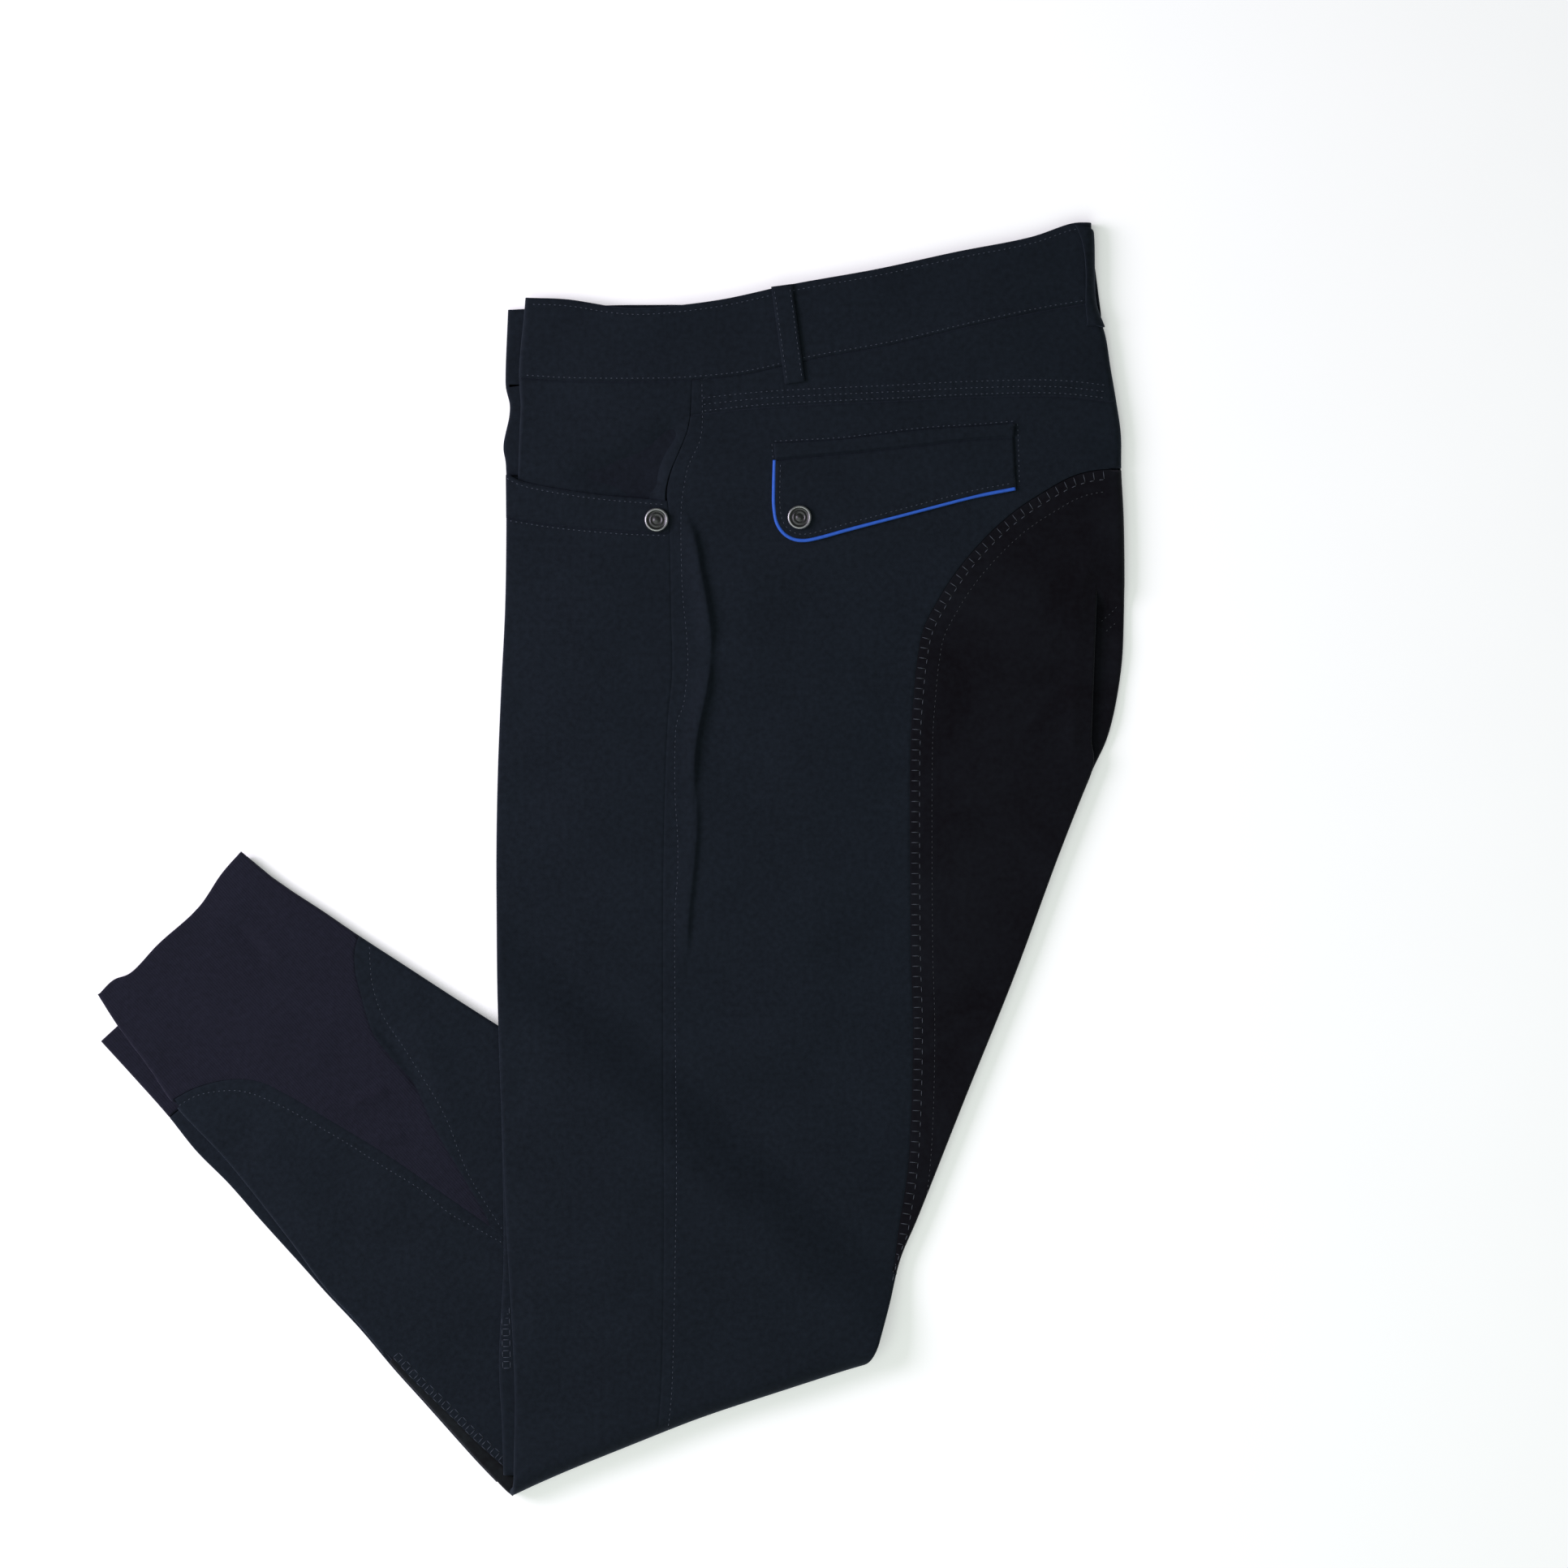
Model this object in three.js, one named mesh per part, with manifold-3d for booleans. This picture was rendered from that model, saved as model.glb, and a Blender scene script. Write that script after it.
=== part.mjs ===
// Full-seat riding breeches laid flat and folded once at the knee, in millimetres with +Z up.
// The left side lies on top, the waist points to +Y and the seat to +X.
// The lower legs are folded under the thighs and come out to -X.

import * as THREE from 'three';
import { mergeVertices } from 'three/addons/utils/BufferGeometryUtils.js';
import Module from 'manifold-3d';

const wasm = await Module();
wasm.setup();

// Cloth and stack
const CLOTH = 1.2;
const SEAM_GAP = 0.3;
const LEG = 4.4;
const THIGHS = 2 * LEG;
const FOLDED = 2 * THIGHS;
const CROWN = 1.1;
const CROWN_REACH = 22;
const LIFT_RUN = 44;
const LIFT_END = 8;
const CURL_END = 172;
const LEG_CURL = (LEG - SEAM_GAP) / 2;
const SEAT_CURL = THIGHS / 2 - SEAM_GAP / 2;
const CURL_STEPS = 4;
const EDGE_SHARE = 0.96;
const DEEP_LAYER = 4.9;
const TUCK_CURL = 1.4;

// Knee fold: the line that the thighs turn under on, and how far the turned cloth is followed
const KNEE = { x: -54.5, y: -353, dx: 0.9386, dy: 0.3451, width: 215 };
const KNEE_CURL = THIGHS;
const KNEE_TURN = 162;
const KNEE_STEPS = 5;
const KNEE_BOW = 5;
const KNEE_BOW_POWER = 0.8;

// Hidden lower leg edge that lifts the thighs
const SHIN_LINE = { x: -62.1, y: -92.9, dx: 0.7424, dy: -0.67 };

// Heights between which the two thighs part at the crotch
const CROTCH = { low: 15, top: 75 };

// Dip of the hip facing behind the pocket band, whose edge falls from left to right
const OPENING = { left: 212, right: 198, from: -58, wide: 90 };
const FACING_DIP = 1.6;
const FACING_SLOPE = 34;
const FACING_SLOPE_END = 6;
const FACING_CREASES_FADE = { from: -2, to: 10 };

// Trims
const TUCK_UNDER = 8;
const LOOP_THICK = 1.8;
const FLAP_THICK = 1.1;
const WELT_THICK = 0.9;
const PIPING_RADIUS = 1.1;
const PIPING_SIDES = 6;
const SNAP_RADIUS = 6.7;
const SNAP_SEAT = 0.8;
const SNAP_SIDES = 20;

// Rows and columns of the pieces' grids
const LINE_STEPS = 300;
const HIP_X = 44;
const HIP_COLUMNS = 7;
const BACK_COLUMNS = 8;
const FRONT_COLUMNS = 6;
const PATCH_COLUMNS = 4;
const FACING_ROWS = 6;
const BAND_ROWS = 2;
const FRONT_ROWS = 26;
const PATCH_ROWS = 26;
const SEAT_ROWS = 2;
const WAIST_ROWS = 3;
const RIGHT_WAIST_COLUMNS = 12;
const RIGHT_FACING_ROWS = 5;
const DEEP_ROWS = 10;
const INSERT_COLUMNS = 5;
const CALF_COLUMNS = 3;
const SHIN_COLUMNS = 4;
const LEFT_INSERT_ROWS = 4;
const LEFT_SHIN_ROWS = 14;
const LOOP_COLUMNS = 3;

// Shares of a panel's width: where its columns lie closer, towards a turned or sewn edge
const CLOSER = { far: 0.45, near: 0.14 };
const BACK_EDGE = 0.02;
const PATCH_EDGE = 0.05;
const DEEP_EDGE = 0.3;
const CALF_EDGE_SHARE = 0.08;
const KNEE_PATCH_COLUMNS = [0, 0.2, 0.6, 1];
const LEFT_STRIP_COLUMNS = [0, 0.014, 0.045, 0.1, 1];
const EASED = [0.06, 0.45];
const CREASE_FADE = 0.5;
const TUCK_ROUND = 3;
const SAME_POINT = 1e-5;

// Columns: x, y. Outlines and seams of the pieces, seen from above
const WAIST_TOP = [
  [-47.2, 311.2], [-24, 310.3], [1, 306.4], [17, 305.4], [59, 309.8],
  [100, 318.6], [147, 327], [190, 336.4], [233, 345], [256, 352.6], [266.5, 353],
];
const WAIST_SEAM = [
  [-50.9, 266.8], [-24, 265.2], [21, 264.8], [44, 265.7], [75, 268.9],
  [111, 277], [156, 285.3], [201, 295.9], [242, 304.6], [267.5, 308.8],
];
const YOKE_SEAM = [[44.1, 246.2], [84, 250.4], [156, 254], [201, 256.2], [246, 256.8], [280.4, 253.4]];
const FRONT_FOLD_TOP = [
  [-47.2, 311.2], [-50.9, 266.8], [-50.2, 251], [-51, 237], [-52, 222], [-52.6, 205],
];
const FRONT_FOLD = [
  [-58.5, 215], [-58.3, 184], [-59, 139], [-61.2, 94], [-63, 49], [-63.8, 4], [-63.5, -41],
  [-62.1, -93], [-59.9, -154], [-57.5, -208], [-54.2, -265], [-53, -300], [-53.6, -335], [-54, -380],
];
const RIGHT_FOLD_TOP = [
  [-57.6, 305], [-59, 269], [-58.8, 262], [-56.7, 253], [-56.9, 246], [-60.2, 229], [-59, 221], [-58.5, 212],
];
const RIGHT_FOLD_LOW = [
  [-58.5, 214], [-59, 139], [-61.2, 94], [-63, 49], [-63.8, 4], [-63.5, -41], [-62.1, -93],
  [-60.5, -150], [-59.5, -222], [-62, -279], [-60.5, -312], [-59.5, -342],
];
const RIGHT_WAIST_TOP = [
  [-57.6, 305], [-30, 306.4], [1, 307.6], [30, 307.8], [59, 308.4], [100, 316], [190, 334], [262, 350],
];
const SEAT_EDGE = [
  [266.5, 353], [267.5, 308.8], [274, 292], [277.3, 272], [280.4, 253.4], [283, 235], [283.2, 216],
  [284.6, 188], [284.8, 134], [283, 103], [276, 69], [267, 49], [249, 4], [224, -64], [197, -131],
  [170, -199], [160.7, -221], [154.5, -246], [149, -266], [143, -287.6], [135, -316],
];
const TUCK = { xTop: 269.6, xLow: 266.5, top: 150, low: 66, fade: 22 };
const SIDE_SEAM = [
  [44.1, 246.2], [42.6, 238], [38.4, 227], [33.4, 215], [31, 204], [31.6, 193], [32.4, 181],
  [33.3, 134], [33.8, 103], [31.6, 80], [30, 44], [29, -1], [28.8, -86], [29.4, -215],
  [27.7, -297], [25, -322], [21, -347],
];
const POCKET_OPENING = [[-58.5, 214.4], [-51, 210], [-33, 205.8], [-6, 201.8], [12, 200.2], [31.1, 198.6]];
const BAND_SEAM = [[-58.3, 189.7], [-33, 185.7], [-6, 182.9], [12, 181.7], [32.4, 181]];
const PATCH_SEAM = [
  [283.2, 216], [268.7, 215.3], [255, 211.6], [239.4, 203], [223.7, 192.6], [208, 178.5], [192, 160],
  [181, 143], [173, 127], [169.7, 110], [167.4, 87], [166.1, 65], [166.1, -48], [167.3, -100],
  [164.7, -170], [158.8, -210], [155.1, -243.7],
];
const CALF_EDGE = [
  [-205.2, 4.3], [-186, -11.5], [-159, -29.5], [-140, -42.5], [-114, -59.4], [-87, -77], [-54, -98],
];
const HEM = [
  [-205.2, 4.3], [-216, -8], [-229, -27], [-251, -47], [-267, -63.4], [-276, -67], [-284.9, -75.8],
];
const SHIN_EDGE = [
  [-284.9, -75.8], [-273.6, -93.4], [-256, -117], [-244.3, -134.3], [-213, -168], [-177, -213.5],
  [-159, -238], [-139, -259.6], [-121.3, -281.2], [-104, -300.4], [-75, -333], [-62, -347],
];
const LEFT_SHIN_EDGE = [
  [-283.9, -101.5], [-267, -120], [-247, -142.4], [-231, -162.4], [-213, -180.5], [-195, -201],
  [-172, -226.4], [-159, -241], [-139.5, -261.8], [-121.3, -283.4], [-104, -302.6], [-75, -335],
  [-64, -346.5],
];
const INSERT_UPPER_SEAM = [
  [-140, -42.5], [-142.2, -50], [-142.2, -61], [-139.5, -73], [-132, -97], [-123, -109],
  [-110, -124], [-98, -149], [-84.6, -172], [-67.6, -201],
];
const INSERT_LOWER_SEAM = [
  [-244.3, -134.3], [-231, -127.2], [-211.5, -122.4], [-195, -123.6], [-181, -130], [-159, -143],
  [-123, -165], [-87, -190], [-68.4, -202.8],
];
const KNEE_PATCH_SEAM = [[-121, -276.6], [-110, -288.7], [-92.7, -305.4], [-75, -323], [-54, -342]];
const SEAMS_MEET = [[-67, -204], [-50, -217]];
const FACING_END = [32.2, 192];
const FACING_LOW_TOP = 211;
const RIGHT_WAIST_SIDE = [[262, 350], [263, 330], [264, 310]];

// Heights at which pieces of the seat and the lower leg begin and end
const BACK_SEAT_LOW = 217.5;
const BACK_KNEE_TOP = -240;
const PATCH_SPAN = { top: 213.6, low: -229 };
const LEFT_INSERT_LOW = -142.4;

// Shares of a seam's length, where the pieces along it begin and end
const PATCH_SEAM_SPAN = { from: 0.004, to: 0.974 };
const INSERT_START = 0.012;
const SHORT_START = 0.4;
const PAST_INSERT = 0.02;
const BEFORE_PATCH = 0.015;
const PAST_PATCH = 0.01;
const LEFT_SEAM_HALF = 0.001;

// Columns: start x, start y, end x, end y, rise, half width. The largest creases of the top layer
const CREASES = [
  [46, 188, 55.5, 125, 2.1, 5],
  [55.5, 125, 47, 62, 2, 5.5],
  [47, 62, 43, -50, 1.5, 6],
  [-25, -81, 108, -82, 0.35, 5],
  [266, 100, 263, 55, 1.6, 9],
  [264, 233, 282, 234, -0.8, 4],
];
const FACING_CREASES = [
  [38, 240, -30, 207, -0.7, 9],
  [38, 239, 24, 206, 0.5, 5],
];
const SHIN_CREASES = [
  [-225, -26, -152, -58, 0.7, 7],
  [-190, -108, -140, -122, 0.6, 9],
  [-140, -84, -118, -112, -0.6, 6],
  [-215, -150, -150, -215, 0.5, 12],
];

// Back pocket, belt loops and snaps: x, y on the left side
const FLAP_TOP = [[91, 221.2], [111, 223.2], [138, 225.6], [174, 229.6], [201, 232.6], [223, 233.9]];
const FLAP_LOW = [
  [91.4, 190], [93, 184.4], [96.8, 179.8], [102, 177.6], [107, 177], [129, 182.4], [156, 189.6],
  [183, 196.8], [201, 201.3], [224.4, 206],
];
const WELT_TOP = [[90, 230.2], [129, 232.4], [147, 234.7], [174, 237.8], [201, 239.6], [224, 241.4]];
const PIPING = [
  [89.3, 221], [89.2, 206], [89.3, 195], [91.2, 185.6], [95, 179.4], [100, 176.4], [106.7, 175.3],
  [115.7, 177], [129, 180.7], [156, 187.9], [183, 195.1], [201, 199.6], [225, 204.3],
];
const LOOP = [[88.7, 317], [96.3, 263.2], [100.4, 318.6], [107.5, 264.8]];
const BACK_LOOP = { top: 344, low: 297, from: 25, to: 122, clear: 0.95 };
const SNAPS = [
  ['snap_front', [25.2, 187.9], 0],
  ['snap_back', [104.4, 189.2], FLAP_THICK + SEAM_GAP],
];
// Columns: share of the radius, height
const SNAP_PROFILE = [
  [0, 0], [0.86, 0], [1, 0.7], [1, 1.5], [0.93, 2.2], [0.8, 2.2], [0.74, 1.7], [0, 1.7],
];
const STRIP = 10;
const RIGHT_FOLD_END = -341;
const RIGHT_ROWS_CLEAR = 8;
const DEEP_REACH = 0.7;
const LEFT_STRIP = 22;
const INSERT_ROWS = 14;
const INSERT_TIP = 0.985;
const HEM_ROWS = 4;
const KNEE_PATCH_ROWS = 6;
const FLAP_COLUMNS = 14;
const FLAP_ROWS = 3;
const LOOP_ROWS = 8;
const PIPING_STEPS = 26;

// Hidden layers: how far each stands in from its outline, its mouth and its height
const CORE_ROWS = 11;
const CORE_COLUMNS = 7;
const CORE_KNEE = { from: -215, to: -240, inset: 8, slope: 2, top: 1 };
const CORE_LOWER = { front: 2.8, seat: 0.4, mouth: 3 };
const CORE_UPPER = { front: 3, seat: 2.4, mouth: 6, round: 1.4, below: 0.1 };
const CORE_LEFT_SHIN = { inset: 0.5, start: 0.02 };
const CORE_RIGHT_SHIN = { inset: 0.9, start: 0.02, round: 1.5, below: 0.15, lap: 0.6 };
const CORE_SHIN_END = 0.985;
const UNDER_THIGH = { low: [-34, -322], top: [-25, -122] };
const TUCK_ROOM = { past: 3, top: 14 };

function smooth(from, to, value) {
  const t = THREE.MathUtils.clamp((value - from) / (to - from), 0, 1);
  return t * t * (3 - 2 * t);
}

const lerp = THREE.MathUtils.lerp;
const radians = THREE.MathUtils.degToRad;

function spline(rows) {
  const points = rows.map(([x, y]) => new THREE.Vector3(x, y, 0));
  return new THREE.CatmullRomCurve3(points, false, 'centripetal');
}

// Points along a table's curve at fractions of its length
function pointsAt(rows, fractions) {
  const curve = spline(rows);
  return fractions.map((fraction) => {
    const point = curve.getPointAt(fraction);
    return [point.x, point.y];
  });
}

const evenly = (steps) => Array.from({ length: steps + 1 }, (unused, i) => i / steps);

// Even fractions, with three more close to the end where cloth turns over an edge
function closerAtEnd(steps, edge) {
  const even = evenly(steps).map((fraction) => fraction * (1 - edge));
  return [...even, 1 - edge * CLOSER.far, 1 - edge * CLOSER.near, 1];
}

const closerAtBoth = (steps, edge) => [
  0, edge * CLOSER.near, edge * CLOSER.far,
  ...evenly(steps).map((fraction) => lerp(edge, 1 - edge, fraction)),
  1 - edge * CLOSER.far, 1 - edge * CLOSER.near, 1,
];

const line = (rows) => pointsAt(rows, evenly(LINE_STEPS));

// Where a line first reaches the place at which a measure falls to zero, as a fraction of its length
function crossing(points, measure) {
  const index = points.findIndex((point) => measure(point) <= 0);
  if (index <= 0) {
    return index < 0 ? 1 : 0;
  }
  const [above, below] = [measure(points[index - 1]), measure(points[index])];
  return (index - 1 + above / (above - below)) / (points.length - 1);
}

function resample(points, steps, from = 0, to = 1) {
  return evenly(steps).map((fraction) => {
    const place = lerp(from, to, fraction) * (points.length - 1);
    const index = Math.min(Math.floor(place), points.length - 2);
    return [0, 1].map((axis) => lerp(points[index][axis], points[index + 1][axis], place - index));
  });
}

// The part of a line between two heights, where it runs downwards
function between(points, steps, top, low) {
  return resample(points, steps, crossing(points, ([, y]) => y - top), crossing(points, ([, y]) => y - low));
}

// x of a falling line at a height
function edgeAt(points) {
  return (y) => {
    const place = crossing(points, (point) => point[1] - y);
    return resample(points, 1, place, place)[0][0];
  };
}

function distanceTo(points, x, y) {
  let nearest = Infinity;
  for (let i = 1; i < points.length; i += 1) {
    const [[x0, y0], [x1, y1]] = [points[i - 1], points[i]];
    const t = THREE.MathUtils.clamp(
      ((x - x0) * (x1 - x0) + (y - y0) * (y1 - y0)) / ((x1 - x0) ** 2 + (y1 - y0) ** 2), 0, 1,
    );
    nearest = Math.min(nearest, Math.hypot(x - lerp(x0, x1, t), y - lerp(y0, y1, t)));
  }
  return nearest;
}

const frontFold = line(FRONT_FOLD);
const seatEdge = line(SEAT_EDGE);
const sideSeam = line(SIDE_SEAM);
const shinEdge = line(SHIN_EDGE);
const calfEdge = line(CALF_EDGE);
const leftShinEdge = line(LEFT_SHIN_EDGE);
const frontFoldAt = edgeAt(frontFold);
const seatEdgeAt = edgeAt(seatEdge);

function creaseHeight(rows, x, y) {
  let sum = 0;
  for (const [x0, y0, x1, y1, rise, wide] of rows) {
    const length = Math.hypot(x1 - x0, y1 - y0);
    const along01 = ((x - x0) * (x1 - x0) + (y - y0) * (y1 - y0)) / length ** 2;
    const t = THREE.MathUtils.clamp(along01, 0, 1);
    const away = Math.hypot(x - lerp(x0, x1, t), y - lerp(y0, y1, t));
    sum += rise * Math.exp(-((away / wide) ** 2)) * (1 - CREASE_FADE * (2 * t - 1) ** 2);
  }
  return sum;
}

// Height that the hidden lower legs give to the thighs
function liftAt(x, y) {
  const side = (x - SHIN_LINE.x) * SHIN_LINE.dy - (y - SHIN_LINE.y) * SHIN_LINE.dx;
  return THIGHS * smooth(-LIFT_END - LIFT_RUN, -LIFT_END, side);
}

// Share of the tuck at a height: nothing above and below it
function tuckShare(y) {
  return smooth(TUCK.low - TUCK.fade, TUCK.low, y) * (1 - smooth(TUCK.top, TUCK.top + TUCK.fade, y));
}

// The fold at the seat is one round over both halves; below the crotch each leg has its own
function seatCurlAt(y) {
  const legOrSeat = lerp(LEG_CURL, SEAT_CURL, smooth(CROTCH.low, CROTCH.top, y));
  return lerp(legOrSeat, TUCK_CURL, Math.min(1, TUCK_ROUND * tuckShare(y)));
}

// Right edge of the top layer: at the tuck it is drawn in from the seat's outline
function topEdgeAt(y) {
  const lip = lerp(TUCK.xLow, TUCK.xTop, (y - TUCK.low) / (TUCK.top - TUCK.low));
  return seatEdgeAt(y) - tuckShare(y) * Math.max(0, seatEdgeAt(y) - lip);
}

// How far a round edge has dropped at a distance inside it
function roundDrop(inside, radius) {
  const short = THREE.MathUtils.clamp(1 - inside / radius, 0, EDGE_SHARE);
  return radius * (1 - Math.sqrt(1 - short ** 2));
}

// Upper face of the top thigh, before the knee turns it under
function thighTop(x, y) {
  const right = topEdgeAt(y) - x;
  const fromEdge = Math.max(0, Math.min(x - frontFoldAt(y), right) - LEG_CURL);
  const crown = CROWN * (1 - Math.exp(-fromEdge / CROWN_REACH));
  return THIGHS + liftAt(x, y) + crown + creaseHeight(CREASES, x, y) - roundDrop(right, seatCurlAt(y));
}

// The deeper layer beside the tuck
function rightSeatTop(x, y) {
  return DEEP_LAYER - roundDrop(seatEdgeAt(y) - x, DEEP_LAYER / 2);
}

function facingTop(x, y) {
  const opening = lerp(OPENING.left, OPENING.right, (x - OPENING.from) / OPENING.wide);
  const dip = FACING_DIP * smooth(opening + FACING_SLOPE, opening + FACING_SLOPE_END, y);
  const inside = smooth(opening + FACING_CREASES_FADE.from, opening + FACING_CREASES_FADE.to, y);
  return thighTop(x, y) - dip + creaseHeight(FACING_CREASES, x, y) * inside;
}

function shinTop(x, y) {
  const inside = Math.min(distanceTo(shinEdge, x, y), distanceTo(calfEdge, x, y));
  return THIGHS + creaseHeight(SHIN_CREASES, x, y) - roundDrop(inside, LEG_CURL);
}

function leftShinTop(x, y) {
  return LEG - roundDrop(distanceTo(leftShinEdge, x, y), LEG_CURL);
}

// Upper face of the right thigh under the left one
function rightThighTop(x, y) {
  return LEG + liftAt(x, y);
}

function kneeFrame(x, y) {
  const rx = x - KNEE.x;
  const ry = y - KNEE.y;
  return [rx * KNEE.dx + ry * KNEE.dy, ry * KNEE.dx - rx * KNEE.dy];
}

// The fold bows inwards between the two edges of the leg
function kneeBow(p) {
  return KNEE_BOW * Math.sin(Math.PI * THREE.MathUtils.clamp(p / KNEE.width, 0, 1)) ** KNEE_BOW_POWER;
}

// Turns what lies past the knee fold round and under, about a half round
function bend([x, y, z]) {
  const [p, q] = kneeFrame(x, y);
  const bow = kneeBow(p);
  const past = KNEE_CURL - (q - bow);
  if (past <= 0) {
    return [x, y, z];
  }
  const turn = past / KNEE_CURL;
  const crown = Math.max(0, z - FOLDED);
  const radius = z - KNEE_CURL - (crown * turn) / Math.PI;
  const inward = bow + KNEE_CURL - radius * Math.sin(turn);
  const fromLine = [p * KNEE.dx - inward * KNEE.dy, p * KNEE.dy + inward * KNEE.dx];
  return [KNEE.x + fromLine[0], KNEE.y + fromLine[1], KNEE_CURL + radius * Math.cos(turn)];
}

const aboveKneeTurn = ([x, y]) => {
  const [p, q] = kneeFrame(x, y);
  return q - kneeBow(p) - KNEE_CURL;
};

// A line from a height down to the knee's turn, and on past it by rows of equal turn
function toKnee(points, steps, top) {
  const to = crossing(points, aboveKneeTurn);
  const rows = resample(points, steps, crossing(points, ([, y]) => y - top), to);
  const [pa, qa] = kneeFrame(...rows[rows.length - 2]);
  const [pb, qb] = kneeFrame(...rows[rows.length - 1]);
  const slope = (pb - pa) / (qa - qb);
  for (let i = 1; i <= KNEE_STEPS; i += 1) {
    const past = (radians(KNEE_TURN) * KNEE_CURL * i) / KNEE_STEPS;
    const p = pb + slope * past;
    const q = KNEE_CURL + kneeBow(p) - past;
    rows.push([KNEE.x + p * KNEE.dx - q * KNEE.dy, KNEE.y + p * KNEE.dy + q * KNEE.dx]);
  }
  return rows;
}

// Grid between a left and a right edge with the same number of points; top and bottom may curve
function patch(left, right, fractions, top = null, bottom = null) {
  const last = left.length - 1;
  return left.map((start, i) => {
    const t = i / last;
    return fractions.map((s, j) => [0, 1].map((axis) => {
      let value = lerp(start[axis], right[i][axis], s);
      if (top) {
        value += (1 - t) * (top[j][axis] - lerp(left[0][axis], right[0][axis], s));
      }
      if (bottom) {
        value += t * (bottom[j][axis] - lerp(left[last][axis], right[last][axis], s));
      }
      return value;
    }));
  });
}

// Draws a seam's side of the grid back by half the gap between two pieces
function drawBack(grid, sides) {
  const rows = grid.length - 1;
  const columns = grid[0].length - 1;
  const drawn = grid.map((row) => row.map((point) => [...point]));
  const shift = (i, j, inI, inJ, alongI, alongJ) => {
    const clampI = (value) => THREE.MathUtils.clamp(value, 0, rows);
    const clampJ = (value) => THREE.MathUtils.clamp(value, 0, columns);
    const before = grid[clampI(i - alongI)][clampJ(j - alongJ)];
    const after = grid[clampI(i + alongI)][clampJ(j + alongJ)];
    const [tx, ty] = [after[0] - before[0], after[1] - before[1]];
    const inside = grid[i + inI][j + inJ];
    const length = Math.hypot(tx, ty);
    let [nx, ny] = [-ty / length, tx / length];
    if ((inside[0] - grid[i][j][0]) * nx + (inside[1] - grid[i][j][1]) * ny < 0) {
      [nx, ny] = [-nx, -ny];
    }
    drawn[i][j][0] += (nx * SEAM_GAP) / 2;
    drawn[i][j][1] += (ny * SEAM_GAP) / 2;
  };
  for (let i = 0; i <= rows; i += 1) {
    if (sides.includes('left')) {
      shift(i, 0, 0, 1, 1, 0);
    }
    if (sides.includes('right')) {
      shift(i, columns, 0, -1, 1, 0);
    }
  }
  for (let j = 0; j <= columns; j += 1) {
    if (sides.includes('top')) {
      shift(0, j, 1, 0, 0, 1);
    }
    if (sides.includes('bottom')) {
      shift(rows, j, -1, 0, 0, 1);
    }
  }
  return drawn;
}

// Lifts a plan grid on to a height
const raise = (grid, height) => grid.map((row) => row.map(([x, y]) => [x, y, height(x, y)]));

// Adds the columns that curl round the front fold, past the grid's left edge, down to a floor
function curl(grid, floor) {
  return grid.map((row) => {
    const [x, y, top] = row[0];
    const radius = (top - floor(x, y) - SEAM_GAP) / 2;
    const turned = evenly(CURL_STEPS).slice(1).map((fraction) => {
      const turn = radians(CURL_END) * fraction;
      return [x - radius * Math.sin(turn), y, top - radius * (1 - Math.cos(turn))];
    });
    return [...turned.reverse(), ...row];
  });
}

function normalsOf(grid) {
  const rows = grid.length - 1;
  const columns = grid[0].length - 1;
  const vector = (a, b) => new THREE.Vector3(b[0] - a[0], b[1] - a[1], b[2] - a[2]);
  return grid.map((row, i) => row.map((point, j) => {
    const down = vector(grid[Math.max(i - 1, 0)][j], grid[Math.min(i + 1, rows)][j]);
    const across = vector(row[Math.max(j - 1, 0)], row[Math.min(j + 1, columns)]);
    return down.cross(across).normalize();
  }));
}

// Closed mesh between an upper and a lower grid of the same size
function closed(upper, lower) {
  const rows = upper.length - 1;
  const columns = upper[0].length - 1;
  const wide = columns + 1;
  const positions = [...upper.flat(), ...lower.flat()].flat();
  const offset = upper.length * wide;
  const at = (i, j) => i * wide + j;
  const triangles = [];
  const quad = (a, b, c, d) => triangles.push(a, b, c, a, c, d);
  for (let i = 0; i < rows; i += 1) {
    for (let j = 0; j < columns; j += 1) {
      quad(at(i, j), at(i + 1, j), at(i + 1, j + 1), at(i, j + 1));
      quad(offset + at(i, j), offset + at(i, j + 1), offset + at(i + 1, j + 1), offset + at(i + 1, j));
    }
  }
  for (let i = 0; i < rows; i += 1) {
    quad(at(i, 0), offset + at(i, 0), offset + at(i + 1, 0), at(i + 1, 0));
    quad(at(i, columns), at(i + 1, columns), offset + at(i + 1, columns), offset + at(i, columns));
  }
  for (let j = 0; j < columns; j += 1) {
    quad(at(0, j), at(0, j + 1), offset + at(0, j + 1), offset + at(0, j));
    quad(at(rows, j), offset + at(rows, j), offset + at(rows, j + 1), at(rows, j + 1));
  }
  const geometry = new THREE.BufferGeometry();
  geometry.setAttribute('position', new THREE.Float32BufferAttribute(positions, 3));
  geometry.setIndex(triangles);
  geometry.computeVertexNormals();
  return geometry;
}

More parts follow.
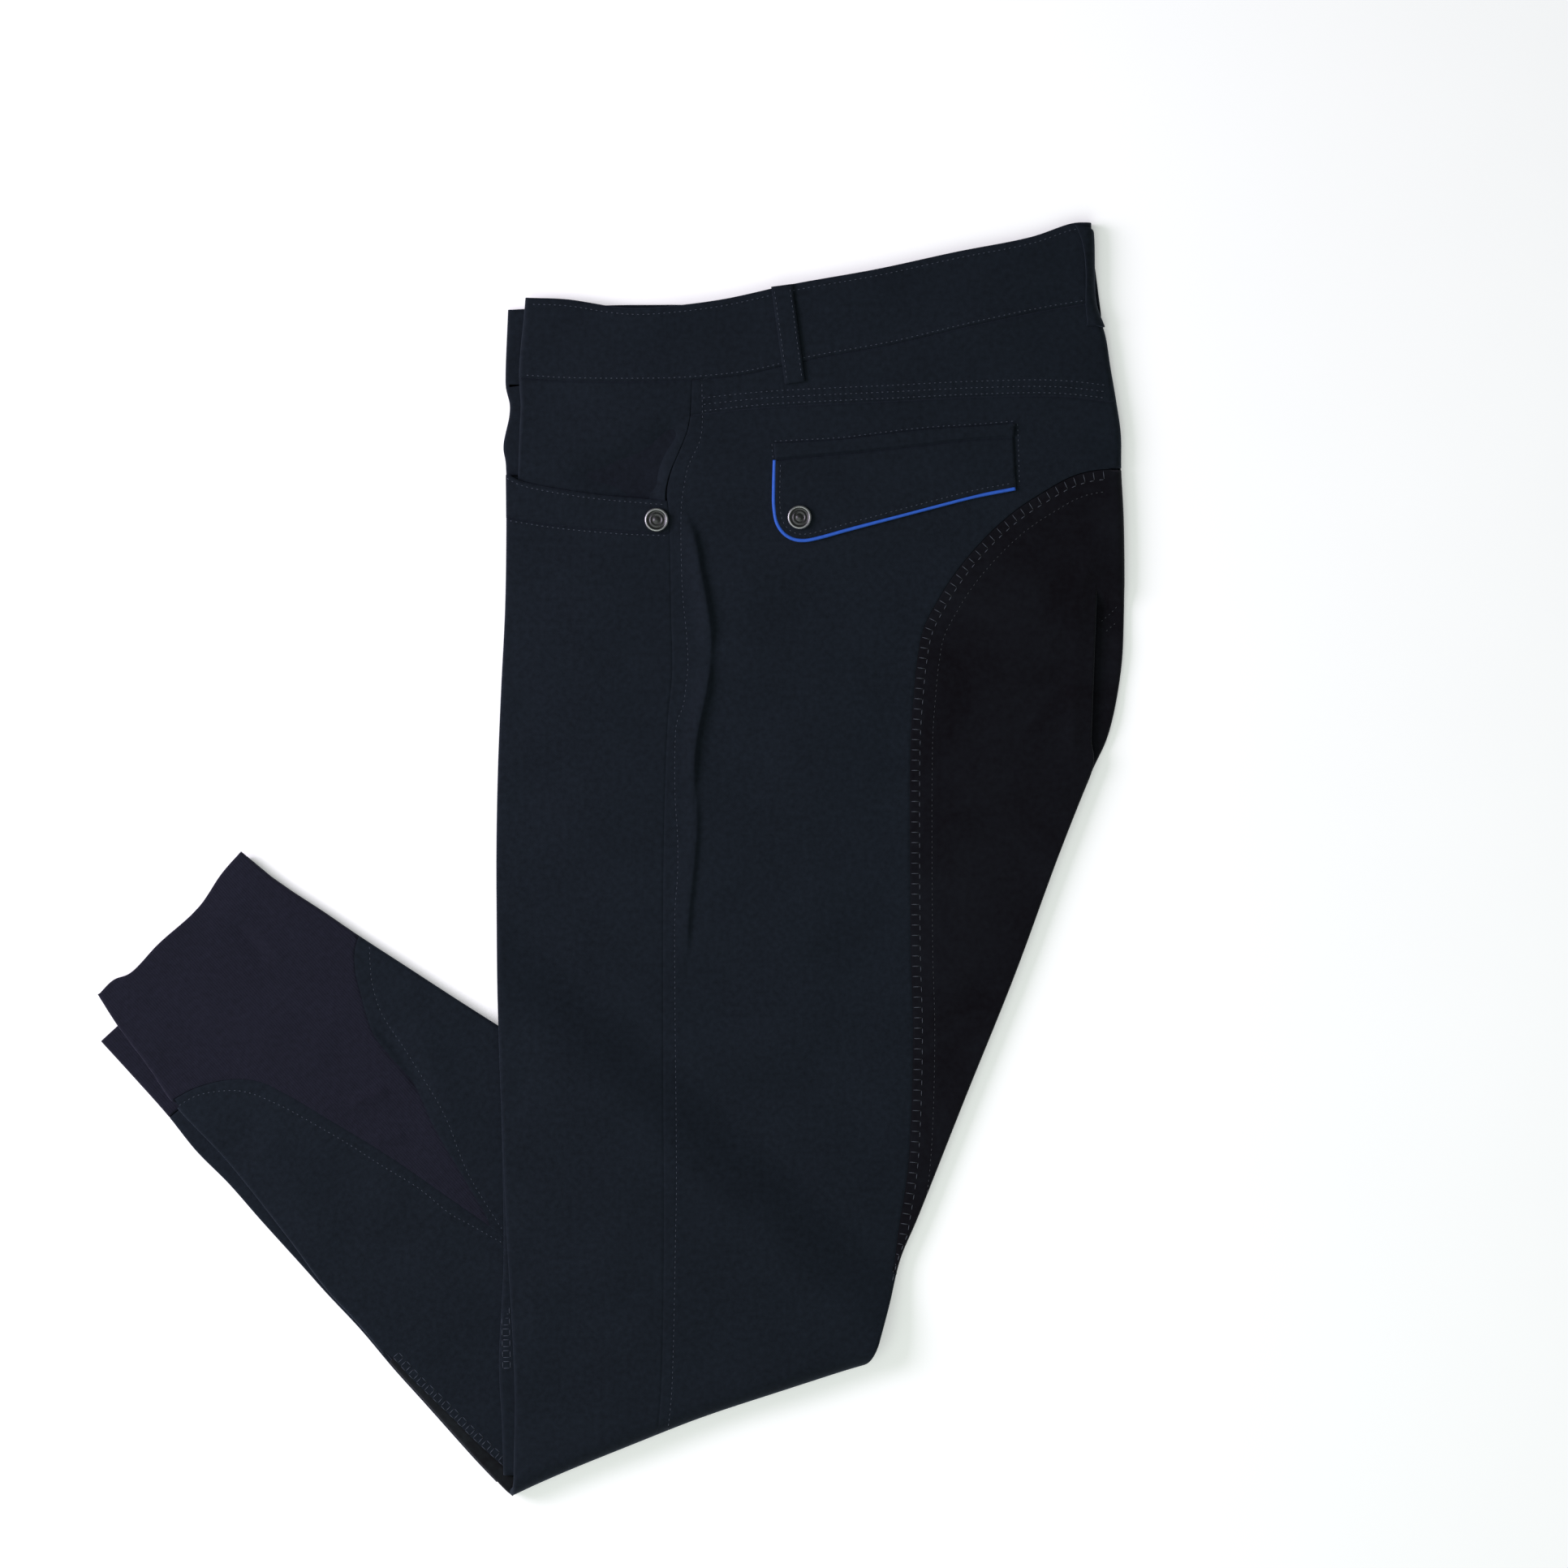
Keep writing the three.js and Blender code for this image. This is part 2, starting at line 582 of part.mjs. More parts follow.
// A cloth wall below a grid of outer points; grown widens it all round, to cut room for it
function wall(grid, thickness = CLOTH, grown = 0) {
  const rows = grid.length - 1;
  const columns = grid[0].length - 1;
  let outer = grid;
  if (grown > 0) {
    outer = grid.map((row, i) => row.map((point, j) => {
      const pushed = [...point];
      const push = (from) => {
        const away = [0, 1, 2].map((axis) => point[axis] - from[axis]);
        const length = Math.hypot(...away);
        away.forEach((value, axis) => { pushed[axis] += (value / length) * grown; });
      };
      if (i === 0) {
        push(grid[1][j]);
      }
      if (i === rows) {
        push(grid[rows - 1][j]);
      }
      if (j === 0) {
        push(row[1]);
      }
      if (j === columns) {
        push(row[columns - 1]);
      }
      return pushed;
    }));
  }
  const normals = normalsOf(grid);
  const shell = (distance) => outer.map((row, i) => row.map(([x, y, z], j) => {
    const normal = normals[i][j];
    return [x + normal.x * distance, y + normal.y * distance, z + normal.z * distance];
  }));
  return closed(shell(grown), shell(-thickness - grown));
}

// A hidden layer: rounded all round its edge, flat or following the layers between
function slab(left, right, columns, topAt, lowAt, round, mouth = null) {
  const bare = patch(left, right, evenly(columns), mouth);
  const rows = bare.length - 1;
  const spread = (count) => {
    const inner = Array.from({ length: count - 1 }, (unused, k) => ({ at: (k + 1) / count, near: round }));
    const start = EASED.map((part) => ({ at: 0, near: part * round }));
    const end = EASED.map((part) => ({ at: 1, near: part * round })).reverse();
    return [...start, ...inner, ...end];
  };
  const place = (u, v) => {
    const i = Math.min(Math.floor(v * rows), rows - 1);
    const j = Math.min(Math.floor(u * columns), columns - 1);
    const [fv, fu] = [v * rows - i, u * columns - j];
    return [0, 1].map((axis) => lerp(
      lerp(bare[i][j][axis], bare[i][j + 1][axis], fu),
      lerp(bare[i + 1][j][axis], bare[i + 1][j + 1][axis], fu),
      fv,
    ));
  };
  const spans = (from, to) => Math.hypot(from[0] - to[0], from[1] - to[1]);
  const upper = [];
  const lower = [];
  for (const down of spread(rows)) {
    const upperRow = [];
    const lowerRow = [];
    for (const across of spread(columns)) {
      const wide = spans(place(0, down.at), place(1, down.at));
      const tall = spans(place(across.at, 0), place(across.at, 1));
      const u = across.at === 0 || across.at === 1
        ? Math.abs(across.at - across.near / wide)
        : across.at;
      const v = down.at === 0 || down.at === 1
        ? Math.abs(down.at - down.near / tall)
        : down.at;
      const near = Math.min(across.near, down.near);
      const pinch = Math.sqrt(1 - (1 - near / round) ** 2);
      const [x, y] = place(u, v);
      const [top, low] = [topAt(x, y), lowAt(x, y)];
      const middle = (top + low) / 2;
      upperRow.push([x, y, middle + (top - middle) * pinch]);
      lowerRow.push([x, y, middle - (middle - low) * pinch]);
    }
    upper.push(upperRow);
    lower.push(lowerRow);
  }
  return closed(upper, lower);
}

function solid(geometry) {
  const bare = geometry.clone();
  bare.deleteAttribute('normal');
  bare.deleteAttribute('uv');
  const merged = mergeVertices(bare, SAME_POINT);
  return new wasm.Manifold(new wasm.Mesh({
    numProp: 3,
    vertProperties: new Float32Array(merged.attributes.position.array),
    triVerts: new Uint32Array(merged.index.array),
  }));
}

function geometryOf(manifold) {
  const mesh = manifold.getMesh();
  const geometry = new THREE.BufferGeometry();
  geometry.setAttribute('position', new THREE.BufferAttribute(mesh.vertProperties, 3));
  geometry.setIndex(new THREE.BufferAttribute(mesh.triVerts, 1));
  geometry.computeVertexNormals();
  return geometry;
}

function finish(color, roughness, metalness = 0) {
  return new THREE.MeshStandardMaterial({ color, roughness, metalness });
}

const NAVY = finish(0x1b2029, 0.85);
const NAVY_SHADE = finish(0x191c22, 0.88);
const SUEDE = finish(0x15161a, 0.95);
const ELASTIC = finish(0x22222e, 0.8);
const BLUE_CORD = finish(0x4470c8, 0.55);
const STEEL = finish(0xb9bcc0, 0.3, 1);

const group = new THREE.Group();

function add(name, geometry, material) {
  const mesh = new THREE.Mesh(geometry, material);
  mesh.name = name;
  group.add(mesh);
}

const bent = (grid) => grid.map((row) => row.map(bend));
const moved = (points, dx, dy = 0) => points.map(([x, y]) => [x + dx, y + dy]);
const behindFold = (points) => moved(points, LEG_CURL);

// Shared seam points, so that pieces on both sides of a seam follow the same line
const waistSeam = line(WAIST_SEAM);
const hipPlace = crossing(waistSeam, ([x]) => HIP_X - x);
const bandFractions = [
  ...evenly(HIP_COLUMNS).map((fraction) => fraction * hipPlace).slice(0, -1),
  ...closerAtEnd(BACK_COLUMNS, BACK_EDGE).map((fraction) => lerp(hipPlace, 1, fraction)),
];
const waistSeamRow = pointsAt(WAIST_SEAM, bandFractions);
waistSeamRow[0][0] += LEG_CURL;
const hipPoint = waistSeamRow[HIP_COLUMNS];
const hipLine = [hipPoint, SIDE_SEAM[0]];
const backFractions = closerAtEnd(BACK_COLUMNS, BACK_EDGE);
const yokeSeamRow = pointsAt(YOKE_SEAM, backFractions);
const openingPlace = POCKET_OPENING.at(-1)[1];
const bandPlace = BAND_SEAM.at(-1)[1];
const sideByFacing = between(sideSeam, FACING_ROWS, SIDE_SEAM[0][1], openingPlace);
const sideByBand = between(sideSeam, BAND_ROWS, openingPlace, bandPlace);
const sideByFront = toKnee(sideSeam, FRONT_ROWS, bandPlace);
const patchSeam = resample(line(PATCH_SEAM), PATCH_ROWS, PATCH_SEAM_SPAN.from, PATCH_SEAM_SPAN.to);
const frontColumns = evenly(FRONT_COLUMNS);
const openingRow = pointsAt(POCKET_OPENING, frontColumns);
openingRow[0][0] += LEG_CURL;
const bandSeamRow = pointsAt(BAND_SEAM, frontColumns);
bandSeamRow[0][0] += LEG_CURL;

// Left half: waistband, hip facing, pocket band, front, yoke, back and full-seat patch
const waistTopRow = pointsAt(WAIST_TOP, bandFractions);
waistTopRow[0][0] += LEG_CURL;
const waistbandGrid = curl(raise(drawBack(
  patch(
    behindFold(between(line(FRONT_FOLD_TOP), WAIST_ROWS, WAIST_TOP[0][1], WAIST_SEAM[0][1])),
    between(seatEdge, WAIST_ROWS, SEAT_EDGE[0][1], SEAT_EDGE[1][1]),
    bandFractions,
    waistTopRow,
    waistSeamRow,
  ),
  ['bottom'],
), thighTop), rightThighTop);

const facingRight = [...resample(hipLine, 2), ...sideByFacing.slice(1), FACING_END];
const facingLeft = resample(
  behindFold(between(line(FRONT_FOLD_TOP), LINE_STEPS, WAIST_SEAM[0][1], FRONT_FOLD_TOP.at(-1)[1])),
  facingRight.length - 1,
);
const facingLow = pointsAt(POCKET_OPENING, evenly(HIP_COLUMNS)).map(([, y], j) => [
  lerp(facingLeft.at(-1)[0], FACING_END[0], j / HIP_COLUMNS),
  Math.min(y, FACING_LOW_TOP) - TUCK_UNDER,
]);
facingLow[0] = facingLeft.at(-1);
facingLow[HIP_COLUMNS] = facingRight.at(-1);
const facingGrid = curl(raise(drawBack(
  patch(facingLeft, facingRight, evenly(HIP_COLUMNS), waistSeamRow.slice(0, HIP_COLUMNS + 1), facingLow),
  ['top', 'right'],
), facingTop), rightThighTop);

const pocketBandGrid = curl(raise(drawBack(
  patch(
    behindFold(between(frontFold, BAND_ROWS, POCKET_OPENING[0][1], BAND_SEAM[0][1])),
    sideByBand,
    frontColumns,
    openingRow,
    bandSeamRow,
  ),
  ['bottom', 'right'],
), thighTop), rightThighTop);

const frontGrid = curl(raise(drawBack(
  patch(toKnee(behindFold(frontFold), FRONT_ROWS, BAND_SEAM[0][1]), sideByFront, frontColumns, bandSeamRow),
  ['top', 'right'],
), thighTop), rightThighTop);

const yokeGrid = raise(drawBack(
  patch(
    resample(hipLine, WAIST_ROWS),
    between(seatEdge, WAIST_ROWS, SEAT_EDGE[1][1], SEAT_EDGE[4][1]),
    backFractions,
    waistSeamRow.slice(HIP_COLUMNS),
    yokeSeamRow,
  ),
  ['top', 'left', 'bottom'],
), thighTop);

const backLeft = [...sideByFacing, ...sideByBand.slice(1), ...sideByFront.slice(1)];
const backRight = [
  ...between(seatEdge, SEAT_ROWS, SEAT_EDGE[4][1], BACK_SEAT_LOW),
  ...patchSeam,
  ...toKnee(seatEdge, backLeft.length - SEAT_ROWS - PATCH_ROWS - KNEE_STEPS - 3, BACK_KNEE_TOP),
];
const backGrid = raise(drawBack(
  patch(backLeft, backRight, backFractions, yokeSeamRow),
  ['top', 'left', 'right'],
), thighTop);

const patchEdge = between(seatEdge, PATCH_ROWS, PATCH_SPAN.top, PATCH_SPAN.low).map(([, y]) => (
  [topEdgeAt(y), y]
));
const patchFront = [...patchSeam.slice(0, -1), resample(patchSeam.slice(-2), 2)[1]];
const seatPatchGrid = raise(drawBack(
  patch(patchFront, patchEdge, closerAtEnd(PATCH_COLUMNS, PATCH_EDGE)),
  ['left', 'bottom'],
), thighTop);

// Right half, where it shows past the left one: waistband, hip facing, front and seat patch
const rightStrip = (start) => (
  curl(raise(patch(start, moved(start, STRIP), evenly(1)), rightThighTop), liftAt)
);
const rightFoldTop = line(RIGHT_FOLD_TOP);
const rightBandLow = RIGHT_FOLD_TOP[2][1];
const waistbandRightGrid = curl(raise(
  patch(
    behindFold(between(rightFoldTop, 2, RIGHT_FOLD_TOP[0][1], rightBandLow)),
    RIGHT_WAIST_SIDE,
    evenly(RIGHT_WAIST_COLUMNS),
    pointsAt(RIGHT_WAIST_TOP, evenly(RIGHT_WAIST_COLUMNS)).map(([x, y], j) => (
      [x + (j === 0 ? LEG_CURL : 0), y]
    )),
  ),
  rightThighTop,
), liftAt);
const rightFrontTop = POCKET_OPENING[0][1] - 1;
const facingRightGrid = rightStrip(behindFold(
  between(rightFoldTop, RIGHT_FACING_ROWS, rightBandLow - 2 * SEAM_GAP, rightFrontTop),
));
const rightFoldAt = edgeAt(line(RIGHT_FOLD_LOW));
const rightFrontRows = frontGrid.map((row) => row.at(-1)[1]).filter((y) => (
  y > RIGHT_FOLD_END + RIGHT_ROWS_CLEAR
));
const frontRightGrid = rightStrip(behindFold(
  [rightFrontTop - SEAM_GAP, ...rightFrontRows, RIGHT_FOLD_END].map((y) => [rightFoldAt(y), y]),
));
const deepEdge = between(seatEdge, DEEP_ROWS, TUCK.top + TUCK.fade * DEEP_REACH, TUCK.low - TUCK.fade);
const seatPatchRightGrid = raise(
  patch(deepEdge.map(([, y]) => [topEdgeAt(y) - TUCK_UNDER, y]), deepEdge, closerAtEnd(1, DEEP_EDGE)),
  rightSeatTop,
);

// Right lower leg, on top: elastic calf insert, calf, shin and the lower end of the full-seat patch
const upperSeam = line(INSERT_UPPER_SEAM);
const lowerSeam = line(INSERT_LOWER_SEAM);
const kneePatchSeam = resample(line(KNEE_PATCH_SEAM), KNEE_PATCH_ROWS);
const insertEnd = crossing(shinEdge, ([, y]) => y - INSERT_LOWER_SEAM[0][1]);
const patchStart = crossing(shinEdge, ([, y]) => y - KNEE_PATCH_SEAM[0][1]);
const calfStart = crossing(calfEdge, ([, y]) => y - INSERT_UPPER_SEAM[0][1]);
const upperSeamRow = resample(upperSeam, INSERT_ROWS, INSERT_START, INSERT_TIP);
const lowerSeamRow = resample(lowerSeam, INSERT_ROWS, INSERT_START, INSERT_TIP);
const startShort = ([first, second, ...rest]) => (
  [resample([first, second], 1, SHORT_START, 1)[0], second, ...rest]
);
const upperToThigh = [...startShort(upperSeamRow), ...resample(SEAMS_MEET, 2)];
const lowerToThigh = [...startShort(lowerSeamRow), ...resample(SEAMS_MEET, 2)];
const insertColumns = closerAtBoth(INSERT_COLUMNS, PATCH_EDGE);
const insertGrid = raise(drawBack(
  patch(
    [...resample(shinEdge, HEM_ROWS, 0, insertEnd), ...lowerSeamRow.slice(1)],
    [...resample(calfEdge, HEM_ROWS, 0, calfStart), ...upperSeamRow.slice(1)],
    insertColumns,
    resample(line([...HEM].reverse()), insertColumns.length - 1),
  ),
  ['left', 'right'],
), shinTop);
const calfGrid = raise(drawBack(
  patch(
    upperToThigh,
    resample(calfEdge, upperToThigh.length - 1, calfStart + PAST_INSERT, 1),
    closerAtEnd(CALF_COLUMNS, CALF_EDGE_SHARE),
  ),
  ['left'],
), shinTop);
const shinLeft = [
  ...resample(
    shinEdge, lowerToThigh.length - 2 - KNEE_PATCH_ROWS, insertEnd + PAST_INSERT, patchStart - BEFORE_PATCH,
  ),
  ...kneePatchSeam,
];
const shinColumns = closerAtEnd(SHIN_COLUMNS, PATCH_EDGE).map((fraction) => 1 - fraction).reverse();
const shinGrid = raise(drawBack(
  patch(shinLeft, lowerToThigh, shinColumns),
  ['left', 'right'],
), shinTop);
const kneePatchGrid = raise(drawBack(
  patch(
    resample(shinEdge, KNEE_PATCH_ROWS, patchStart + PAST_PATCH, 1),
    kneePatchSeam,
    KNEE_PATCH_COLUMNS,
  ),
  ['right', 'top'],
), shinTop);

// Left lower leg, below it: the edges that show
const leftStrip = (from, to, rows) => {
  const edge = resample(leftShinEdge, rows, from, to);
  const inner = edge.map((point, i) => {
    const before = edge[Math.max(i - 1, 0)];
    const after = edge[Math.min(i + 1, rows)];
    const length = Math.hypot(after[0] - before[0], after[1] - before[1]);
    return [
      point[0] - ((after[1] - before[1]) / length) * LEFT_STRIP,
      point[1] + ((after[0] - before[0]) / length) * LEFT_STRIP,
    ];
  });
  return raise(patch(edge, inner, LEFT_STRIP_COLUMNS), leftShinTop);
};
const leftInsertEnd = crossing(leftShinEdge, ([, y]) => y - LEFT_INSERT_LOW);
const leftInsertGrid = leftStrip(0, leftInsertEnd - LEFT_SEAM_HALF, LEFT_INSERT_ROWS);
const leftShinGrid = leftStrip(leftInsertEnd + LEFT_SEAM_HALF, 1, LEFT_SHIN_ROWS);

// Trims that lie on the left panels
const liftedBy = (height, by) => (x, y) => height(x, y) + by;
const flapTopRow = pointsAt(FLAP_TOP, evenly(FLAP_COLUMNS));
const flapLowRow = pointsAt(FLAP_LOW, evenly(FLAP_COLUMNS));
const flapGrid = raise(
  patch(
    resample([flapTopRow[0], flapLowRow[0]], FLAP_ROWS),
    resample([flapTopRow[FLAP_COLUMNS], flapLowRow[FLAP_COLUMNS]], FLAP_ROWS),
    evenly(FLAP_COLUMNS),
    flapTopRow,
    flapLowRow,
  ),
  liftedBy(thighTop, SEAM_GAP + FLAP_THICK),
);
const weltTopRow = pointsAt(WELT_TOP, evenly(FLAP_COLUMNS));
const weltLowRow = moved(flapTopRow, 0, SEAM_GAP);
const weltGrid = raise(
  patch(
    [weltTopRow[0], weltLowRow[0]],
    [weltTopRow[FLAP_COLUMNS], weltLowRow[FLAP_COLUMNS]],
    evenly(FLAP_COLUMNS),
    weltTopRow,
    weltLowRow,
  ),
  liftedBy(thighTop, SEAM_GAP + WELT_THICK),
);
const loopGrid = raise(
  patch(
    resample([LOOP[0], LOOP[1]], LOOP_ROWS),
    resample([LOOP[2], LOOP[3]], LOOP_ROWS),
    evenly(LOOP_COLUMNS),
  ),
  liftedBy(thighTop, SEAM_GAP + LOOP_THICK),
);
const backLoopGrid = evenly(LOOP_ROWS).map((fraction) => {
  const y = lerp(BACK_LOOP.top, BACK_LOOP.low, fraction);
  return evenly(CURL_STEPS).map((part) => {
    const turn = radians(lerp(BACK_LOOP.from, BACK_LOOP.to, part));
    const radius = SEAT_CURL + BACK_LOOP.clear + LOOP_THICK;
    const x = seatEdgeAt(y) - SEAT_CURL + radius * Math.sin(turn);
    return [x, y, THIGHS - SEAT_CURL + radius * Math.cos(turn)];
  });
});

// Round cord along a path that lies on the panel
function cord(path, radius) {
  const ring = (point, i) => {
    const before = path[Math.max(i - 1, 0)];
    const after = path[Math.min(i + 1, path.length - 1)];
    const length = Math.hypot(after[0] - before[0], after[1] - before[1]);
    const [sx, sy] = [(after[1] - before[1]) / length, -(after[0] - before[0]) / length];
    const centre = thighTop(...point) + SEAM_GAP + radius;
    return evenly(PIPING_SIDES).slice(0, -1).map((part) => {
      const turn = 2 * Math.PI * part;
      return [
        point[0] + sx * radius * Math.cos(turn),
        point[1] + sy * radius * Math.cos(turn),
        centre + radius * Math.sin(turn),
      ];
    });
  };
  const rings = path.map(ring);
  const positions = rings.flat(2);
  const triangles = [];
  const at = (i, k) => i * PIPING_SIDES + (k % PIPING_SIDES);
  for (let i = 0; i < rings.length - 1; i += 1) {
    for (let k = 0; k < PIPING_SIDES; k += 1) {
      triangles.push(at(i, k), at(i + 1, k), at(i + 1, k + 1), at(i, k), at(i + 1, k + 1), at(i, k + 1));
    }
  }
  for (let k = 1; k < PIPING_SIDES - 1; k += 1) {
    triangles.push(at(0, 0), at(0, k), at(0, k + 1));
    triangles.push(at(rings.length - 1, 0), at(rings.length - 1, k + 1), at(rings.length - 1, k));
  }
  const geometry = new THREE.BufferGeometry();
  geometry.setAttribute('position', new THREE.Float32BufferAttribute(positions, 3));
  geometry.setIndex(triangles);
  geometry.computeVertexNormals();
  return geometry;
}

// Snap cap: a low disc with a raised rim
function snap([x, y], seat) {
  const profile = SNAP_PROFILE.map(([share, height]) => new THREE.Vector2(share * SNAP_RADIUS, height));
  const geometry = new THREE.LatheGeometry(profile, SNAP_SIDES);
  geometry.rotateX(Math.PI / 2);
  geometry.translate(x, y, seat + SEAM_GAP);
  return geometryOf(solid(geometry));
}

const pieces = [
  ['waistband_left', waistbandGrid, NAVY],
  ['pocket_facing_left', facingGrid, NAVY],
  ['pocket_band_left', pocketBandGrid, NAVY],
  ['front_panel_left', bent(frontGrid), NAVY],
  ['yoke_left', yokeGrid, NAVY],
  ['back_panel_left', bent(backGrid), NAVY],
  ['seat_patch_left', seatPatchGrid, SUEDE],
  ['waistband_right', waistbandRightGrid, NAVY_SHADE],
  ['pocket_facing_right', facingRightGrid, NAVY_SHADE],
  ['front_panel_right', frontRightGrid, NAVY_SHADE],
  ['seat_patch_right', seatPatchRightGrid, SUEDE],
  ['calf_insert_right', insertGrid, ELASTIC],
  ['calf_panel_right', calfGrid, NAVY],
  ['shin_panel_right', shinGrid, NAVY],
  ['knee_patch_right', kneePatchGrid, SUEDE],
  ['calf_insert_left', leftInsertGrid, ELASTIC],
  ['shin_panel_left', leftShinGrid, NAVY],
];
for (const [name, grid, material] of pieces) {
  add(name, wall(grid), material);
}
add('back_pocket_flap', wall(flapGrid, FLAP_THICK), NAVY);
add('back_pocket_welt', wall(weltGrid, WELT_THICK), NAVY);
add('belt_loop_side', wall(loopGrid, LOOP_THICK), NAVY);
add('belt_loop_back', wall(backLoopGrid, LOOP_THICK), NAVY);
add('flap_piping', cord(pointsAt(PIPING, evenly(PIPING_STEPS)), PIPING_RADIUS), BLUE_CORD);
for (const [name, place, raised] of SNAPS) {
  const corners = [-1, 1].flatMap((sx) => [-1, 1].map((sy) => [sx, sy]));
  const reach = SNAP_RADIUS * SNAP_SEAT;
  const seat = Math.max(...corners.map(([sx, sy]) => thighTop(place[0] + sx * reach, place[1] + sy * reach)));
  add(name, snap(place, seat + raised), STEEL);
}

// Hidden layers: what the panels lie on, one rounded solid with a groove between the layers
const clearance = SEAM_GAP + CLOTH;
const insetBy = (points, distance) => points.map((point, i) => {
  const before = points[Math.max(i - 1, 0)];
  const after = points[Math.min(i + 1, points.length - 1)];
  const length = Math.hypot(after[0] - before[0], after[1] - before[1]);
  return [
    point[0] + ((after[1] - before[1]) / length) * distance,
    point[1] - ((after[0] - before[0]) / length) * distance,
  ];
});
const insideKnee = (x, y) => {
  const [p, q] = kneeFrame(x, y);
  return q - kneeBow(p);
};
const kneeRound = (x, y) => {
  const radius = KNEE_CURL - clearance;
  const short = THREE.MathUtils.clamp(1 - (insideKnee(x, y) - clearance) / radius, 0, 1);
  return radius * Math.sqrt(1 - short ** 2);
};
const coreFront = line([...FRONT_FOLD_TOP.slice(0, 4), ...FRONT_FOLD.slice(1)]);
// At the knee the right side stands further in, behind the turned panel
const coreSeat = seatEdge.map(([, y]) => (
  [topEdgeAt(y) - CORE_KNEE.inset * smooth(CORE_KNEE.from, CORE_KNEE.to, y), y]
));
const mouthRow = ({ front, seat, mouth }) => pointsAt(WAIST_TOP, evenly(CORE_COLUMNS)).map(([x, y], j) => (
  [x + lerp(front, -seat, j / CORE_COLUMNS), y - mouth]
));
const thighSides = ({ front, seat, mouth }, kneeInset) => {
  const knee = ([x, y]) => insideKnee(x, y) - kneeInset;
  const side = (points, top) => (
    resample(points, CORE_ROWS, crossing(points, ([, y]) => y - top), crossing(points, knee))
  );
  return [
    side(insetBy(coreFront, -front), WAIST_TOP[0][1] - mouth),
    side(insetBy(coreSeat, seat), SEAT_EDGE[0][1] - mouth),
  ];
};
const lowerThighTop = (x, y) => (
  insideKnee(x, y) < KNEE_CURL + CORE_KNEE.slope ? KNEE_CURL + kneeRound(x, y) : rightThighTop(x, y)
);
const lowerThighLow = (x, y) => (insideKnee(x, y) < KNEE_CURL ? KNEE_CURL - kneeRound(x, y) : 0);
const upperThighTop = (x, y) => thighTop(x, y) - clearance - CORE_UPPER.below;
const shinSides = (edge, { inset, start }) => {
  const left = insetBy(edge, -inset);
  const right = insetBy(calfEdge, inset);
  return [
    [...resample(left, CORE_ROWS - 1, start, CORE_SHIN_END), UNDER_THIGH.low],
    [...resample(right, CORE_ROWS - 1, start, CORE_SHIN_END), UNDER_THIGH.top],
  ];
};
const layers = [
  slab(
    ...thighSides(CORE_LOWER, clearance), CORE_COLUMNS,
    lowerThighTop, lowerThighLow, LEG / 2, mouthRow(CORE_LOWER),
  ),
  slab(
    ...thighSides(CORE_UPPER, KNEE_CURL - CORE_KNEE.top), CORE_COLUMNS,
    upperThighTop, () => LEG / 2, CORE_UPPER.round, mouthRow(CORE_UPPER),
  ),
  slab(...shinSides(leftShinEdge, CORE_LEFT_SHIN), CORE_COLUMNS, () => LEG, () => 0, LEG / 2),
  slab(
    ...shinSides(shinEdge, CORE_RIGHT_SHIN), CORE_COLUMNS,
    () => THIGHS - clearance - CORE_RIGHT_SHIN.below, () => LEG - CORE_RIGHT_SHIN.lap, CORE_RIGHT_SHIN.round,
  ),
];
let core = solid(layers[0]);
for (const layer of layers.slice(1)) {
  core = core.add(solid(layer));
}
for (const [, grid] of pieces) {
  core = core.subtract(solid(wall(grid, CLOTH, SEAM_GAP)));
}
core = core.subtract(solid(wall(backLoopGrid, LOOP_THICK, SEAM_GAP)));

// Room above the deeper layer, between the lip of the tuck and the seat's outline
const lip = deepEdge.map(([, y]) => [topEdgeAt(y) + SEAM_GAP, y]);
const tuckRoom = raise(patch(lip, moved(deepEdge, TUCK_ROOM.past), evenly(1)), () => TUCK_ROOM.top);
core = core.subtract(solid(wall(tuckRoom, TUCK_ROOM.top - DEEP_LAYER)));
// Slivers that the cuts leave outside the layers are dropped
const largest = core.decompose().reduce((a, b) => (a.volume() > b.volume() ? a : b));
add('hidden_layers', geometryOf(largest), NAVY_SHADE);

export default group;
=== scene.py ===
"""Navy full-seat riding breeches, laid flat with the lower legs folded under the thighs."""

import math

import bmesh
import bpy
import numpy as np
from bpy.props import FloatProperty, FloatVectorProperty, IntProperty, PointerProperty
from mathutils import Matrix, Vector
from mathutils.bvhtree import BVHTree
from mathutils.kdtree import KDTree


